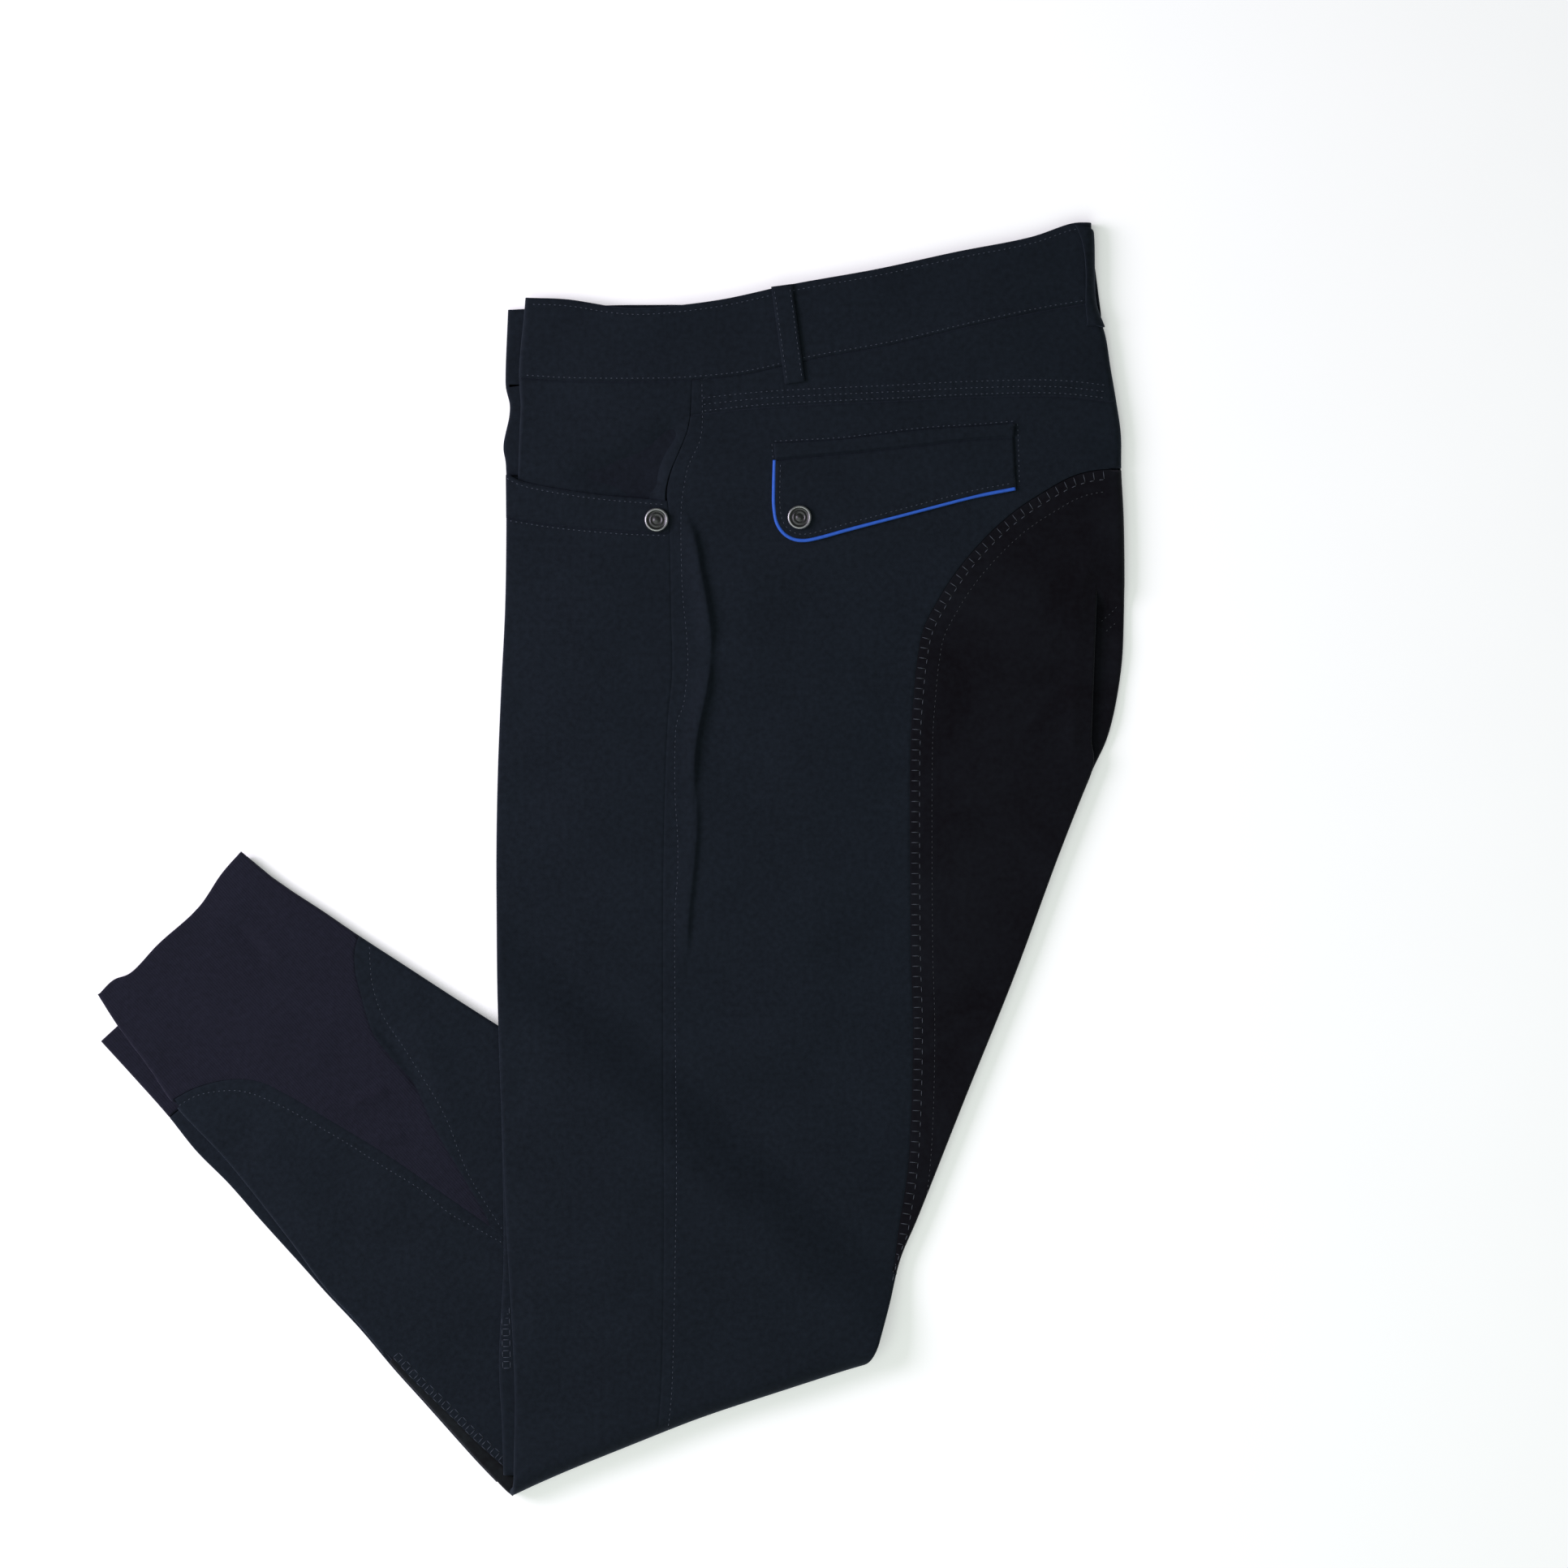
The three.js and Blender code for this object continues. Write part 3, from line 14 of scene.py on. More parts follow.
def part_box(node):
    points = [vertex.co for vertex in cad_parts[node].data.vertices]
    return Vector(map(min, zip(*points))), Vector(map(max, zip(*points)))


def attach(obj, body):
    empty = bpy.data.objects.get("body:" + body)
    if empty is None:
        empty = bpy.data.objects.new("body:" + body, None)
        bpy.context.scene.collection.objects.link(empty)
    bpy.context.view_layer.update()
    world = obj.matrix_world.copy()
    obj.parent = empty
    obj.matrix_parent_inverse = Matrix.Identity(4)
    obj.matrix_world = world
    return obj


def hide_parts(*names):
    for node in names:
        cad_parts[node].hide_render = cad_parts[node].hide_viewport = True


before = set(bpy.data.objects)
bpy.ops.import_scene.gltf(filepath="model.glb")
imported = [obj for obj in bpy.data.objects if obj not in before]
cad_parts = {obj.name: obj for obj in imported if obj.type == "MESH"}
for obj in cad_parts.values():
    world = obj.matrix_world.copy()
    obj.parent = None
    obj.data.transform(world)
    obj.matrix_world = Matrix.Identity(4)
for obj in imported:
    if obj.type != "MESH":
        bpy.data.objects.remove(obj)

bl_info = {
    "name": "Riding breeches",
    "version": (1, 0, 0),
    "blender": (4, 5, 0),
    "location": "View3D > Sidebar > Breeches",
    "description": "Navy full-seat riding breeches, laid flat with the lower legs folded under",
    "category": "Object",
}

# All shapes are worked out in millimetres and made in metres
MM = 0.001

# Height above every piece, in metres, from which stitches are set down
ABOVE_ALL = 0.1

# The stack of layers
GAP = 0.3
LEG = 4.4
THIGHS = 8.8
FOLDED = 17.6
CROWN = 1.1
CROWN_REACH = 22
RELIEF_RUN = 12
LEG_CURL = 2.05
SEAT_CURL = 4.25
TUCK_CURL = 1.4
DEEP_LAYER = 4.9
LIFT_RUN = 44
LIFT_END = 8
KNEE = {"x": -54.5, "y": -353, "dx": 0.9386, "dy": 0.3451, "width": 215}
KNEE_CURL = 8.8
KNEE_TURN = math.radians(162)
KNEE_BOW = 5
KNEE_BOW_POWER = 0.8
KNEE_ROWS = 22
SHIN_LINE = {"x": -62.1, "y": -92.9, "dx": 0.7424, "dy": -0.67}
TUCK = {"x_top": 269.6, "x_low": 266.5, "top": 152, "low": 66, "fade_top": 10, "fade_low": 22}
TUCK_ROUND = 3
CROTCH = (15, 75)
CURL_STEPS = 12
CURL_END = math.radians(172)

# Cloth: walls, and how far it lies above what it is sewn to
CLOTH = 1.2
POCKET_CLOTH = 0.9
LOOP_CLOTH = 1.3
WAISTBAND_RISE = 0.25
BAND_RISE = 0.2
UNDER_PATCH = 0.12
LAYER_AIR = 0.15
JOIN_WITHIN = 4e-5

# Columns: x, y. Outlines and seams, seen from above
WAIST_TOP = [
    (-47.2, 311.2), (-24, 310.3), (1, 306.4), (17, 305.4), (59, 309.8),
    (100, 318.6), (147, 327), (190, 336.4), (233, 345), (256, 352.6), (266.5, 353),
]
WAIST_SEAM = [
    (-50.9, 266.8), (-24, 265.2), (21, 264.8), (44, 265.7), (75, 268.9),
    (111, 277), (156, 285.3), (201, 295.9), (242, 304.6), (267.5, 308.8),
]
YOKE_SEAM = [(44.1, 246.2), (84, 250.4), (156, 254), (201, 256.2), (246, 256.8), (280.4, 253.4)]
FRONT_FOLD_TOP = [
    (-47.2, 311.2), (-50.9, 266.8), (-50.2, 251), (-51, 237), (-52, 222), (-52.6, 205),
]
FRONT_FOLD = [
    (-58.5, 215), (-58.3, 184), (-59, 139), (-61.2, 94), (-63, 49), (-63.8, 4), (-63.5, -41),
    (-62.1, -93), (-59.9, -154), (-57.5, -208), (-54.2, -265), (-53, -300), (-53.6, -335), (-54, -380),
]
RIGHT_FOLD_TOP = [
    (-57.6, 305), (-59, 269), (-58.8, 262), (-56.7, 253), (-56.9, 246), (-60.2, 229), (-59, 221),
    (-58.5, 212),
]
RIGHT_FOLD_LOW = [
    (-58.5, 214), (-59, 139), (-61.2, 94), (-63, 49), (-63.8, 4), (-63.5, -41), (-62.1, -93),
    (-60.5, -150), (-59.5, -222), (-62, -279), (-60.5, -312), (-59.5, -342),
]
RIGHT_WAIST_TOP = [
    (-57.6, 305), (-30, 306.4), (1, 307.6), (30, 307.8), (59, 308.4), (100, 316), (190, 334), (262, 350),
]
SEAT_EDGE = [
    (266.5, 353), (267.5, 308.8), (274, 292), (277.3, 272), (280.4, 253.4), (283, 235), (283.2, 216),
    (284.6, 188), (284.8, 134), (283, 103), (276, 69), (267, 49), (249, 4), (224, -64), (197, -131),
    (170, -199), (160.7, -221), (154.5, -246), (149, -266), (143, -287.6), (135, -316),
]
SIDE_SEAM = [
    (44.1, 246.2), (42.6, 238), (38.4, 227), (33.4, 215), (31, 204), (31.6, 193), (32.4, 181), (33.3, 134),
    (33.8, 103), (31.6, 80), (30, 44), (29, -1), (28.8, -86), (29.4, -215), (27.7, -297), (25, -322),
    (21, -347),
]
POCKET_OPENING = [(-58.5, 214.4), (-51, 210), (-33, 205.8), (-6, 201.8), (12, 200.2), (31.1, 198.6)]
BAND_SEAM = [(-58.3, 189.7), (-33, 185.7), (-6, 182.9), (12, 181.7), (32.4, 181)]
PATCH_SEAM = [
    (283.2, 216), (268.7, 215.3), (255, 211.6), (239.4, 203), (223.7, 192.6), (208, 178.5), (192, 160),
    (181, 143), (173, 127), (169.7, 110), (167.4, 87), (166.1, 65), (166.1, -48), (167.3, -100),
    (164.7, -170), (158.8, -210), (155.1, -243.7),
]
CALF_EDGE = [
    (-205.2, 4.3), (-186, -11.5), (-159, -29.5), (-140, -42.5), (-114, -59.4), (-87, -77), (-54, -98),
]
HEM = [(-205.2, 4.3), (-216, -8), (-229, -27), (-251, -47), (-267, -63.4), (-276, -67), (-284.9, -75.8)]
SHIN_EDGE = [
    (-284.9, -75.8), (-273.6, -93.4), (-256, -117), (-244.3, -134.3), (-213, -168), (-177, -213.5),
    (-159, -238), (-139, -259.6), (-121.3, -281.2), (-104, -300.4), (-75, -333), (-62, -347),
]
LEFT_SHIN_EDGE = [
    (-283.9, -101.5), (-267, -120), (-247, -142.4), (-231, -162.4), (-213, -180.5), (-195, -201),
    (-172, -226.4), (-159, -241), (-139.5, -261.8), (-121.3, -283.4), (-104, -302.6), (-75, -335),
    (-64, -346.5),
]
INSERT_UPPER_SEAM = [
    (-140, -42.5), (-142.2, -50), (-142.2, -61), (-139.5, -73), (-132, -97), (-123, -109),
    (-110, -124), (-98, -149), (-84.6, -172), (-67.6, -201),
]
INSERT_LOWER_SEAM = [
    (-244.3, -134.3), (-231, -127.2), (-211.5, -122.4), (-195, -123.6), (-181, -130), (-159, -143),
    (-123, -165), (-87, -190), (-68.4, -202.8),
]
KNEE_PATCH_SEAM = [(-121, -276.6), (-110, -288.7), (-92.7, -305.4), (-75, -323), (-54, -342)]
SEAMS_MEET = [(-67, -204), (-50, -217)]

# Back pocket, loops and snaps
FLAP_TOP = [(91, 221.2), (111, 223.2), (138, 225.6), (174, 229.6), (201, 232.6), (223, 233.9)]
FLAP_LOW = [
    (91.4, 190), (93, 184.4), (96.8, 179.8), (102, 177.6), (107, 177), (129, 182.4), (156, 189.6),
    (183, 196.8), (201, 201.3), (224.4, 206),
]
WELT_TOP = [(90, 230.2), (129, 232.4), (147, 234.7), (174, 237.8), (201, 239.6), (224, 241.4)]
PIPING = [
    (90.6, 221), (90.2, 206), (90.3, 195), (92, 186), (95.8, 180.4), (101, 177.3), (107.2, 176.5),
    (115.7, 178.1), (129, 181.8), (156, 189), (183, 196.1), (201, 200.7), (224, 205.2),
]
PIPING_RADIUS = 0.98
PIPING_RISE = 0.25
PIPING_STEPS = 150
CORD_SEGMENTS = 12
FLAP = {
    "rows": 26, "below": 0.8, "rise": (1.5, 0.98), "rise_x": (196, 222),
    "bulge": 0.5, "bulge_y": ((176, 196), (236, 214)), "bulge_x": (226, 200),
}
WELT = {"rows": 20, "below": 1.6, "rise": (1.5, 0.6), "groove": (1.1, 0.4)}
POCKET_SHARES = np.linspace(0, 1, 90)
LOOP = [(88.7, 317), (96.3, 263.2), (100.4, 318.6), (107.5, 264.8)]
LOOP_SHAPE = {"columns": 13, "rise": 1.5, "crown": 0.45, "edge": 6, "bow": 0.5, "end": 0.05}
BACK_LOOP = {
    "top": 351.5, "low": 295.5, "to": 128, "clear": 0.95, "columns": 20, "lean": 5, "rise": 1.35,
    "start": (-5.2, 1.4), "lean_powers": (6, 1.6), "bow_power": 0.7,
}

# Stitches: where one starts and ends in its step, its height, and the slope past which none is set
STITCH = {"start": 0.24, "end": 0.72, "rise": 0.25, "high": 0.42, "steepest": 0.55, "longest": 3}
LADDER = {
    "wide": 5.0, "box_wide": 4.2, "apart": 0.3, "thread": 0.95, "rail": 0.56, "box": 0.62, "inside": 1.4,
}
LADDER_BEHIND = [(-55.9, -248), (-55.2, -284)]
LOOP_STITCHES = (0.13, 0.87)

# Steps along a line, with the shares of it at which stitches start and end
SEAT_STRETCH = (400, 0.02, 0.985)
KNEE_STRETCH = (60, 0, 0.94)
LOOP_STRETCH = (30, 0.04, 0.96)

# Snaps: their places, and the profile that is turned round them. Columns: radius, height
SNAPS = {"snap_front": (25.2, 187.9), "snap_back": (104.4, 189.2)}
SNAP_PROFILE = [
    (0.0, 1.75), (1.6, 1.72), (1.8, 1.5), (2.9, 1.5), (3.1, 1.75), (3.5, 1.75), (3.7, 1.5), (5.0, 1.5),
    (5.25, 2.0), (5.6, 2.25), (6.1, 2.2), (6.5, 1.85), (6.7, 1.3), (6.6, 0.6), (6.2, 0.1), (5.6, 0.0),
]

# Rows of stitches that follow no seam at an even distance. Columns: x, y
SIDE_STITCHES = [
    (50.4, 264), (50.4, 237.8), (49, 231), (45.9, 224.3), (42.7, 217.6), (40.5, 206.3), (39.1, 197.3),
    (39.1, 161.3), (40, 143.3), (41.8, 125.3), (42.7, 107.3), (41.8, 98.3), (40, 84.8), (36.5, 75.8),
    (35.5, 62.3), (35.5, 35.3), (36.9, 12.8), (36.9, -9.7), (35.5, -27.7), (35.5, -86.2), (36.5, -178.4),
    (36, -208.6), (33.7, -296.8), (31.5, -317), (30, -340),
]
INSERT_UPPER_STITCHES = [
    (-134, -48), (-133.2, -63.7), (-131.9, -71.8), (-127.4, -85.3), (-122, -94.3), (-115.2, -104.2),
    (-106.2, -118.6), (-95, -136.6), (-89.1, -149.2), (-84.6, -161.8), (-78.8, -175.3), (-68.9, -192),
    (-60, -206),
]
INSERT_LOWER_STITCHES = [
    (-240, -137), (-230.9, -131.6), (-218.7, -128.9), (-203.9, -128.9), (-183.6, -136.6), (-167.9, -145.1),
    (-145.4, -158.2), (-128.7, -169), (-106.2, -182.9), (-89.6, -196.4), (-78.3, -202.7), (-60, -213),
]

# Rows on the deeper patch, seen in the tuck
DEEP_ROWS = [[(271.5, 131.5), (277.5, 136.4), (281.2, 140.6)], [(274.2, 126), (280.6, 131.4)]]

CREASE_STEPS = 24
CREASE_FADE = 0.22
CREASE_END = 0.15

# Creases of the top layer. Columns: points, rise, width on the left, width on the right
CREASES = [
    ([(40.5, 192), (46.2, 179), (49.6, 161), (53, 143), (55.4, 125), (55.4, 112)], 2.9, 6.5, 1.5),
    ([(55.6, 114), (53.1, 94), (50, 80), (46.8, 62), (45.9, 35)], 2.7, 6.5, 1.5),
    ([(46.2, 42), (47.3, 22), (46.4, 4), (44.6, -14), (42.8, -32), (41.4, -55)], 1.7, 7, 1.8),
    ([(52, 170), (59, 140), (61, 110), (57, 80), (52, 40)], -0.7, 4, 12),
    ([(-24, -77), (40, -79), (107, -80.5)], 0.85, 2.6, 3.4),
    ([(262, 232), (271, 234.6), (280, 236)], -0.9, 3, 4),
    ([(256, 112), (257, 85), (257.5, 54)], 0.9, 5, 4),
    ([(264, 182), (265, 150), (265.5, 100), (263, 45)], 1.5, 8, 5),
    ([(-20, 150), (-8, 90), (-14, 20)], 0.35, 22, 26),
    ([(95, 150), (112, 60), (104, -60)], 0.4, 26, 30),
    ([(-34, -300), (6, -280), (60, -276)], -0.4, 12, 16),
]
FACING_CREASES = [
    ([(43, 244), (20, 226), (-28, 205)], -1.9, 7, 13),
    ([(40, 241), (33.8, 233), (26.6, 224), (23.4, 213), (26.6, 201)], -2.2, 4.4, 2.6),
    ([(38.6, 236), (32.6, 222), (31, 206)], 0.6, 5, 4),
]

# The hip facing: the opening's height from front to back, and how deep the facing lies above it
FACING = {
    "edge": (212, 198), "from": -58, "wide": 90, "dip": (1.4, 2.9), "dip_run": (-25, 20), "slope": (34, 5),
    "flat": (-2, 10), "at_seam": 0.08, "seam_run": 12,
}

# Creases of the lower leg, with the same columns
SHIN_CREASES = [
    ([(-225, -26), (-210, -30), (-196, -42), (-189, -51), (-176, -58)], 0.75, 3.4, 6),
    ([(-212, -36), (-200, -45), (-190, -60)], -0.9, 5, 6),
    ([(-146, -136), (-123, -127)], 1.2, 3, 5),
    ([(-133, -155), (-113, -153)], 1.0, 3, 4),
    ([(-134, -89), (-124, -100), (-110, -121), (-104, -134)], -1.3, 3, 6),
    ([(-200, -150), (-172, -190), (-150, -222)], 0.9, 12, 12),
    ([(-215, -84), (-180, -104), (-150, -112)], 0.9, 10, 12),
    ([(-112, -84), (-96, -120), (-84, -150)], 0.9, 8, 10),
    ([(-262, -70), (-236, -88), (-214, -110)], -0.5, 6, 8),
]

RIPPLE_WAVES = 14
RIPPLE_PEAK = 3.7

# Low waves. Columns: height, seed, shortest, longest
THIGH_RIPPLE = (0.42, 4, 34, 120)
SHIN_RIPPLE = (0.2, 9, 26, 90)
DEEP_RIPPLE = (0.25, 12, 18, 50)

# Heights at which the seams of the left half meet its front fold, side seam or seat
(TOP_FRONT, TOP_SEAT), (WAIST_FRONT, WAIST_SEAT), (YOKE_SIDE, YOKE_SEAT) = (
    (line[0][1], line[-1][1]) for line in (WAIST_TOP, WAIST_SEAM, YOKE_SEAM)
)
(OPENING_FRONT, OPENING_SIDE), (BAND_FRONT, BAND_SIDE) = (
    (line[0][1], line[-1][1]) for line in (POCKET_OPENING, BAND_SEAM)
)

# Where the other rows of the panels start and end: heights, places, widths and shares of a line
RIGHT_TOP, RIGHT_WAIST = 305, 262
RIGHT_WAIST_END = [(262, 350), (263, 310)]
RIGHT_FACING = (263.5, 212.5)
RIGHT_FRONT = (213, -341)
FACING_LOW = 205
FACING_CORNER = (32.2, 192)
FACING_END = 31
FACING_UNDER = 7.5
FACING_RAMP = 0.08
BACK_LOW = 216.5
PATCH_TOP = 215.5
PATCH_END = -229
PATCH_FIRST = 0.012
DEEP = {"levels": (166, 20), "rising": (138, 153), "wide": 20, "columns": 16}
CALF_LOW = -43.5
INSERT_STRETCH = (0.012, 0.985)
HEM_START = 0.004
HEM_STRETCH = (0.02, 0.98)
HEM_FADE = 5
SEAM_HALF = 0.15
EDGE_STEP = 0.01
KNEE_STEP = 0.004
KNEE_PAST = ((7, -6.5), (9, -6))
KNEE_COLUMNS = 6
LEG_GRAIN = 42
LEFT_LEG = {"insert_low": -142.4, "apart": 0.001, "wide": 22, "columns": 10}
STRIP = {"wide": 12, "columns": 8}

# Grids of the panels: their width with the distance between columns, and their rows. Columns stand
# closer together at distances from a sewn edge
SEWN_NEAR = (0.35, 0.9, 1.7, 2.8)
WAISTBAND_NEAR = (0.5, 1.4, 2.6)
COLUMNS = {
    "waistband": (318, 2.4), "right_waistband": (320, 3), "facing": (92, 1.8), "front": (92, 2.0),
    "yoke": (232, 2.2), "patch": (100, 1.9), "insert": (105, 1.8), "calf": (60, 1.8), "shin": (85, 1.9),
}
ROWS = {
    "waistband": 24, "right_waistband": 20, "facing": 40, "facing_side": 30, "band": 16, "right_facing": 30,
    "front": 250, "right_front": 220, "yoke": 20, "seat": 16, "beside_patch": 216, "knee": 24, "patch": 200,
    "deep": 140, "hem": 44, "insert": 100, "meet": 12, "knee_patch": 46, "left_insert": 40, "left_shin": 160,
    "loop": 60,
}
RIDGE = {"keep": (0.028, 0.204), "shares": (0.03, 0.2, 36)}

# Points on a line, and how close together they are where stitches are looked for
SPAN_STEPS = 24
LINE_POINTS = 400
MARK_STEP = 0.5
FAR = 60.0


def smooth(start, end, value):
    t = np.clip((value - start) / (end - start), 0, 1)
    return t * t * (3 - 2 * t)


def mix(a, b, share):
    return a + (b - a) * share


def lengths(points):
    steps = np.linalg.norm(np.diff(points, axis=0), axis=1)
    return np.concatenate([[0.0], np.cumsum(steps)])


def at_shares(points, shares):
    """Points of a line at shares of its length."""
    run = lengths(points)
    where = np.asarray(shares) * run[-1]
    return np.column_stack([np.interp(where, run, axis) for axis in points.T])


def even(points, count, start=0.0, end=1.0):
    return at_shares(points, np.linspace(start, end, count + 1))


def curve(rows, count=LINE_POINTS):
    """Even points on a smooth line through a table's rows."""
    points = np.array(rows, float)
    ends = np.vstack([2 * points[0] - points[1], points, 2 * points[-1] - points[-2]])
    line = []
    t = np.linspace(0, 1, SPAN_STEPS, endpoint=False)[:, None]
    for a, b, c, d in zip(ends, ends[1:], ends[2:], ends[3:]):
        ab, bc, cd = (math.sqrt(math.dist(p, q)) for p, q in ((a, b), (b, c), (c, d)))
        leave = ((b - a) / ab - (c - a) / (ab + bc) + (c - b) / bc) * bc
        arrive = ((c - b) / bc - (d - b) / (bc + cd) + (d - c) / cd) * bc
        square, cube = 3 * (c - b) - 2 * leave - arrive, 2 * (b - c) + leave + arrive
        line.append(b + leave * t + square * t**2 + cube * t**3)
    return even(np.vstack([*line, points[-1:]]), count)


def share_where(points, measure):
    """The share of a line's length at which a measure first falls to zero."""
    values = measure(points)
    below = np.nonzero(values <= 0)[0]
    if not len(below):
        return 1.0
    i = below[0]
    if i == 0:
        return 0.0
    run = lengths(points)
    part = values[i - 1] / (values[i - 1] - values[i])
    return mix(run[i - 1], run[i], part) / run[-1]


def height_share(points, y):
    return share_where(points, lambda p: p[:, 1] - y)


def between(points, count, top, low):
    return even(points, count, height_share(points, top), height_share(points, low))


def outward(line, side):
    """Directions in plan that leave the cloth at its left side, 1, or its right side, -1."""
    along = np.gradient(line, axis=0)
    along /= np.linalg.norm(along, axis=1)[:, None]
    return side * np.column_stack([along[:, 1], -along[:, 0]])


def offset(line, distance):
    """A line moved to its left by a distance, as it runs."""
    return line - outward(line, 1) * distance


front_fold, fold_top, seat_edge, side_seam = map(curve, (FRONT_FOLD, FRONT_FOLD_TOP, SEAT_EDGE, SIDE_SEAM))
waist_top, waist_seam, yoke_seam, patch_seam = map(curve, (WAIST_TOP, WAIST_SEAM, YOKE_SEAM, PATCH_SEAM))
opening, band_seam, knee_patch_seam = map(curve, (POCKET_OPENING, BAND_SEAM, KNEE_PATCH_SEAM))
shin_edge, calf_edge, hem, left_shin_edge = map(curve, (SHIN_EDGE, CALF_EDGE, HEM, LEFT_SHIN_EDGE))
insert_upper_seam, insert_lower_seam = map(curve, (INSERT_UPPER_SEAM, INSERT_LOWER_SEAM))
right_fold_top, right_fold_low = map(curve, (RIGHT_FOLD_TOP, RIGHT_FOLD_LOW))


def x_at(line):
    return lambda y: np.interp(-np.asarray(y, float), -line[:, 1], line[:, 0])


front_fold_at = x_at(front_fold)
seat_edge_at = x_at(seat_edge)
side_seam_at = x_at(side_seam)


def creases(rows, x, y):
    """Sum of soft ridges and troughs, each with its own slope on either side of its line."""
    total = np.zeros_like(x)
    for points, rise, wide_left, wide_right in rows:
        line = curve(points, CREASE_STEPS)
        nearest = np.full(x.shape, np.inf)
        signed = np.zeros_like(x)
        share = np.zeros_like(x)
        for i, ((x0, y0), (x1, y1)) in enumerate(zip(line, line[1:])):
            dx, dy = x1 - x0, y1 - y0
            t = np.clip(((x - x0) * dx + (y - y0) * dy) / (dx * dx + dy * dy), 0, 1)
            away = np.hypot(x - x0 - t * dx, y - y0 - t * dy)
            closer = away < nearest
            nearest = np.where(closer, away, nearest)
            signed = np.where(closer, (x - x0) * dy - (y - y0) * dx, signed)
            share = np.where(closer, (i + t) / (len(line) - 1), share)
        wide = np.where(signed * (1 if line[0, 1] > line[-1, 1] else -1) < 0, wide_right, wide_left)
        ends = smooth(0, CREASE_FADE, share) * smooth(1, 1 - CREASE_FADE, share)
        total += rise * np.exp(-((nearest / wide) ** 2)) * mix(CREASE_END, 1, ends)
    return total


def ripple(x, y, height, seed, shortest, longest):
    """Low uneven waves of cloth that lies without tension."""
    chance = np.random.default_rng(seed)
    total = np.zeros_like(x)
    for _ in range(RIPPLE_WAVES):
        wave = 2 * math.pi / chance.uniform(shortest, longest)
        angle = chance.uniform(0, math.pi)
        total += np.sin(wave * (x * math.cos(angle) + y * math.sin(angle)) + chance.uniform(0, 2 * math.pi))
    return total * height / RIPPLE_PEAK


def lift_at(x, y):
    """Height that the hidden lower legs give to the thighs."""
    side = (x - SHIN_LINE["x"]) * SHIN_LINE["dy"] - (y - SHIN_LINE["y"]) * SHIN_LINE["dx"]
    return THIGHS * smooth(-LIFT_END - LIFT_RUN, -LIFT_END, side)


def tuck_share(y):
    start = smooth(TUCK["low"] - TUCK["fade_low"], TUCK["low"], y)
    return start * (1 - smooth(TUCK["top"], TUCK["top"] + TUCK["fade_top"], y))


def seat_curl_at(y):
    """Radius of the top layer's round at the seat: both halves share it above the crotch."""
    leg_or_seat = mix(LEG_CURL, SEAT_CURL, smooth(*CROTCH, y))
    return mix(leg_or_seat, TUCK_CURL, np.minimum(1, TUCK_ROUND * tuck_share(y)))


def top_edge_at(y):
    lip = mix(TUCK["x_low"], TUCK["x_top"], (y - TUCK["low"]) / (TUCK["top"] - TUCK["low"]))
    return seat_edge_at(y) - tuck_share(y) * np.maximum(0, seat_edge_at(y) - lip)


def thigh_top(x, y):
    """Upper face of the top thigh before its edges are rounded."""
    from_edge = np.maximum(0, np.minimum(x - front_fold_at(y), top_edge_at(y) - x) - LEG_CURL)
    crown = CROWN * (1 - np.exp(-from_edge / CROWN_REACH))
    relief = creases(CREASES, x, y) + ripple(x, y, *THIGH_RIPPLE)
    return THIGHS + lift_at(x, y) + crown + relief * smooth(0, RELIEF_RUN, from_edge)


def facing_top(x, y):
    """The hip facing lies deeper beside the pocket's opening and creases towards the side seam."""
    edge = mix(*FACING["edge"], (x - FACING["from"]) / FACING["wide"])
    above, close = FACING["slope"]
    dip = mix(*FACING["dip"], smooth(*FACING["dip_run"], x)) * smooth(edge + above, edge + close, y)
    low, high = FACING["flat"]
    sunk = creases(FACING_CREASES, x, y) * smooth(edge + low, edge + high, y) - dip
    share = smooth(0, FACING["seam_run"], side_seam_at(y) - x)
    return thigh_top(x, y) + sunk * mix(FACING["at_seam"], 1, share)


def shin_top(x, y):
    return THIGHS + creases(SHIN_CREASES, x, y) + ripple(x, y, *SHIN_RIPPLE)


def right_thigh_top(x, y):
    return LEG + lift_at(x, y)


def knee_frame(points):
    rx, ry = points[..., 0] - KNEE["x"], points[..., 1] - KNEE["y"]
    return rx * KNEE["dx"] + ry * KNEE["dy"], ry * KNEE["dx"] - rx * KNEE["dy"]


def from_knee_frame(p, q):
    return np.stack([
        KNEE["x"] + p * KNEE["dx"] - q * KNEE["dy"],
        KNEE["y"] + p * KNEE["dy"] + q * KNEE["dx"],
    ], axis=-1)


def knee_bow(p):
    return KNEE_BOW * np.sin(math.pi * np.clip(p / KNEE["width"], 0, 1)) ** KNEE_BOW_POWER


def knee_bend(points):
    """Turns what lies past the knee fold round and under."""
    p, q = knee_frame(points)
    z = points[..., 2]
    bow = knee_bow(p)
    turn = np.maximum(0, KNEE_CURL - (q - bow)) / KNEE_CURL
    radius = z - KNEE_CURL - np.maximum(0, z - FOLDED) * turn / math.pi
    inward = bow + KNEE_CURL - radius * np.sin(turn)
    height = KNEE_CURL + radius * np.cos(turn)
    turned = np.concatenate([from_knee_frame(p, inward), height[..., None]], axis=-1)
    return np.where((turn > 0)[..., None], turned, points)


def above_knee_turn(points):
    p, q = knee_frame(points)
    return q - knee_bow(p) - KNEE_CURL


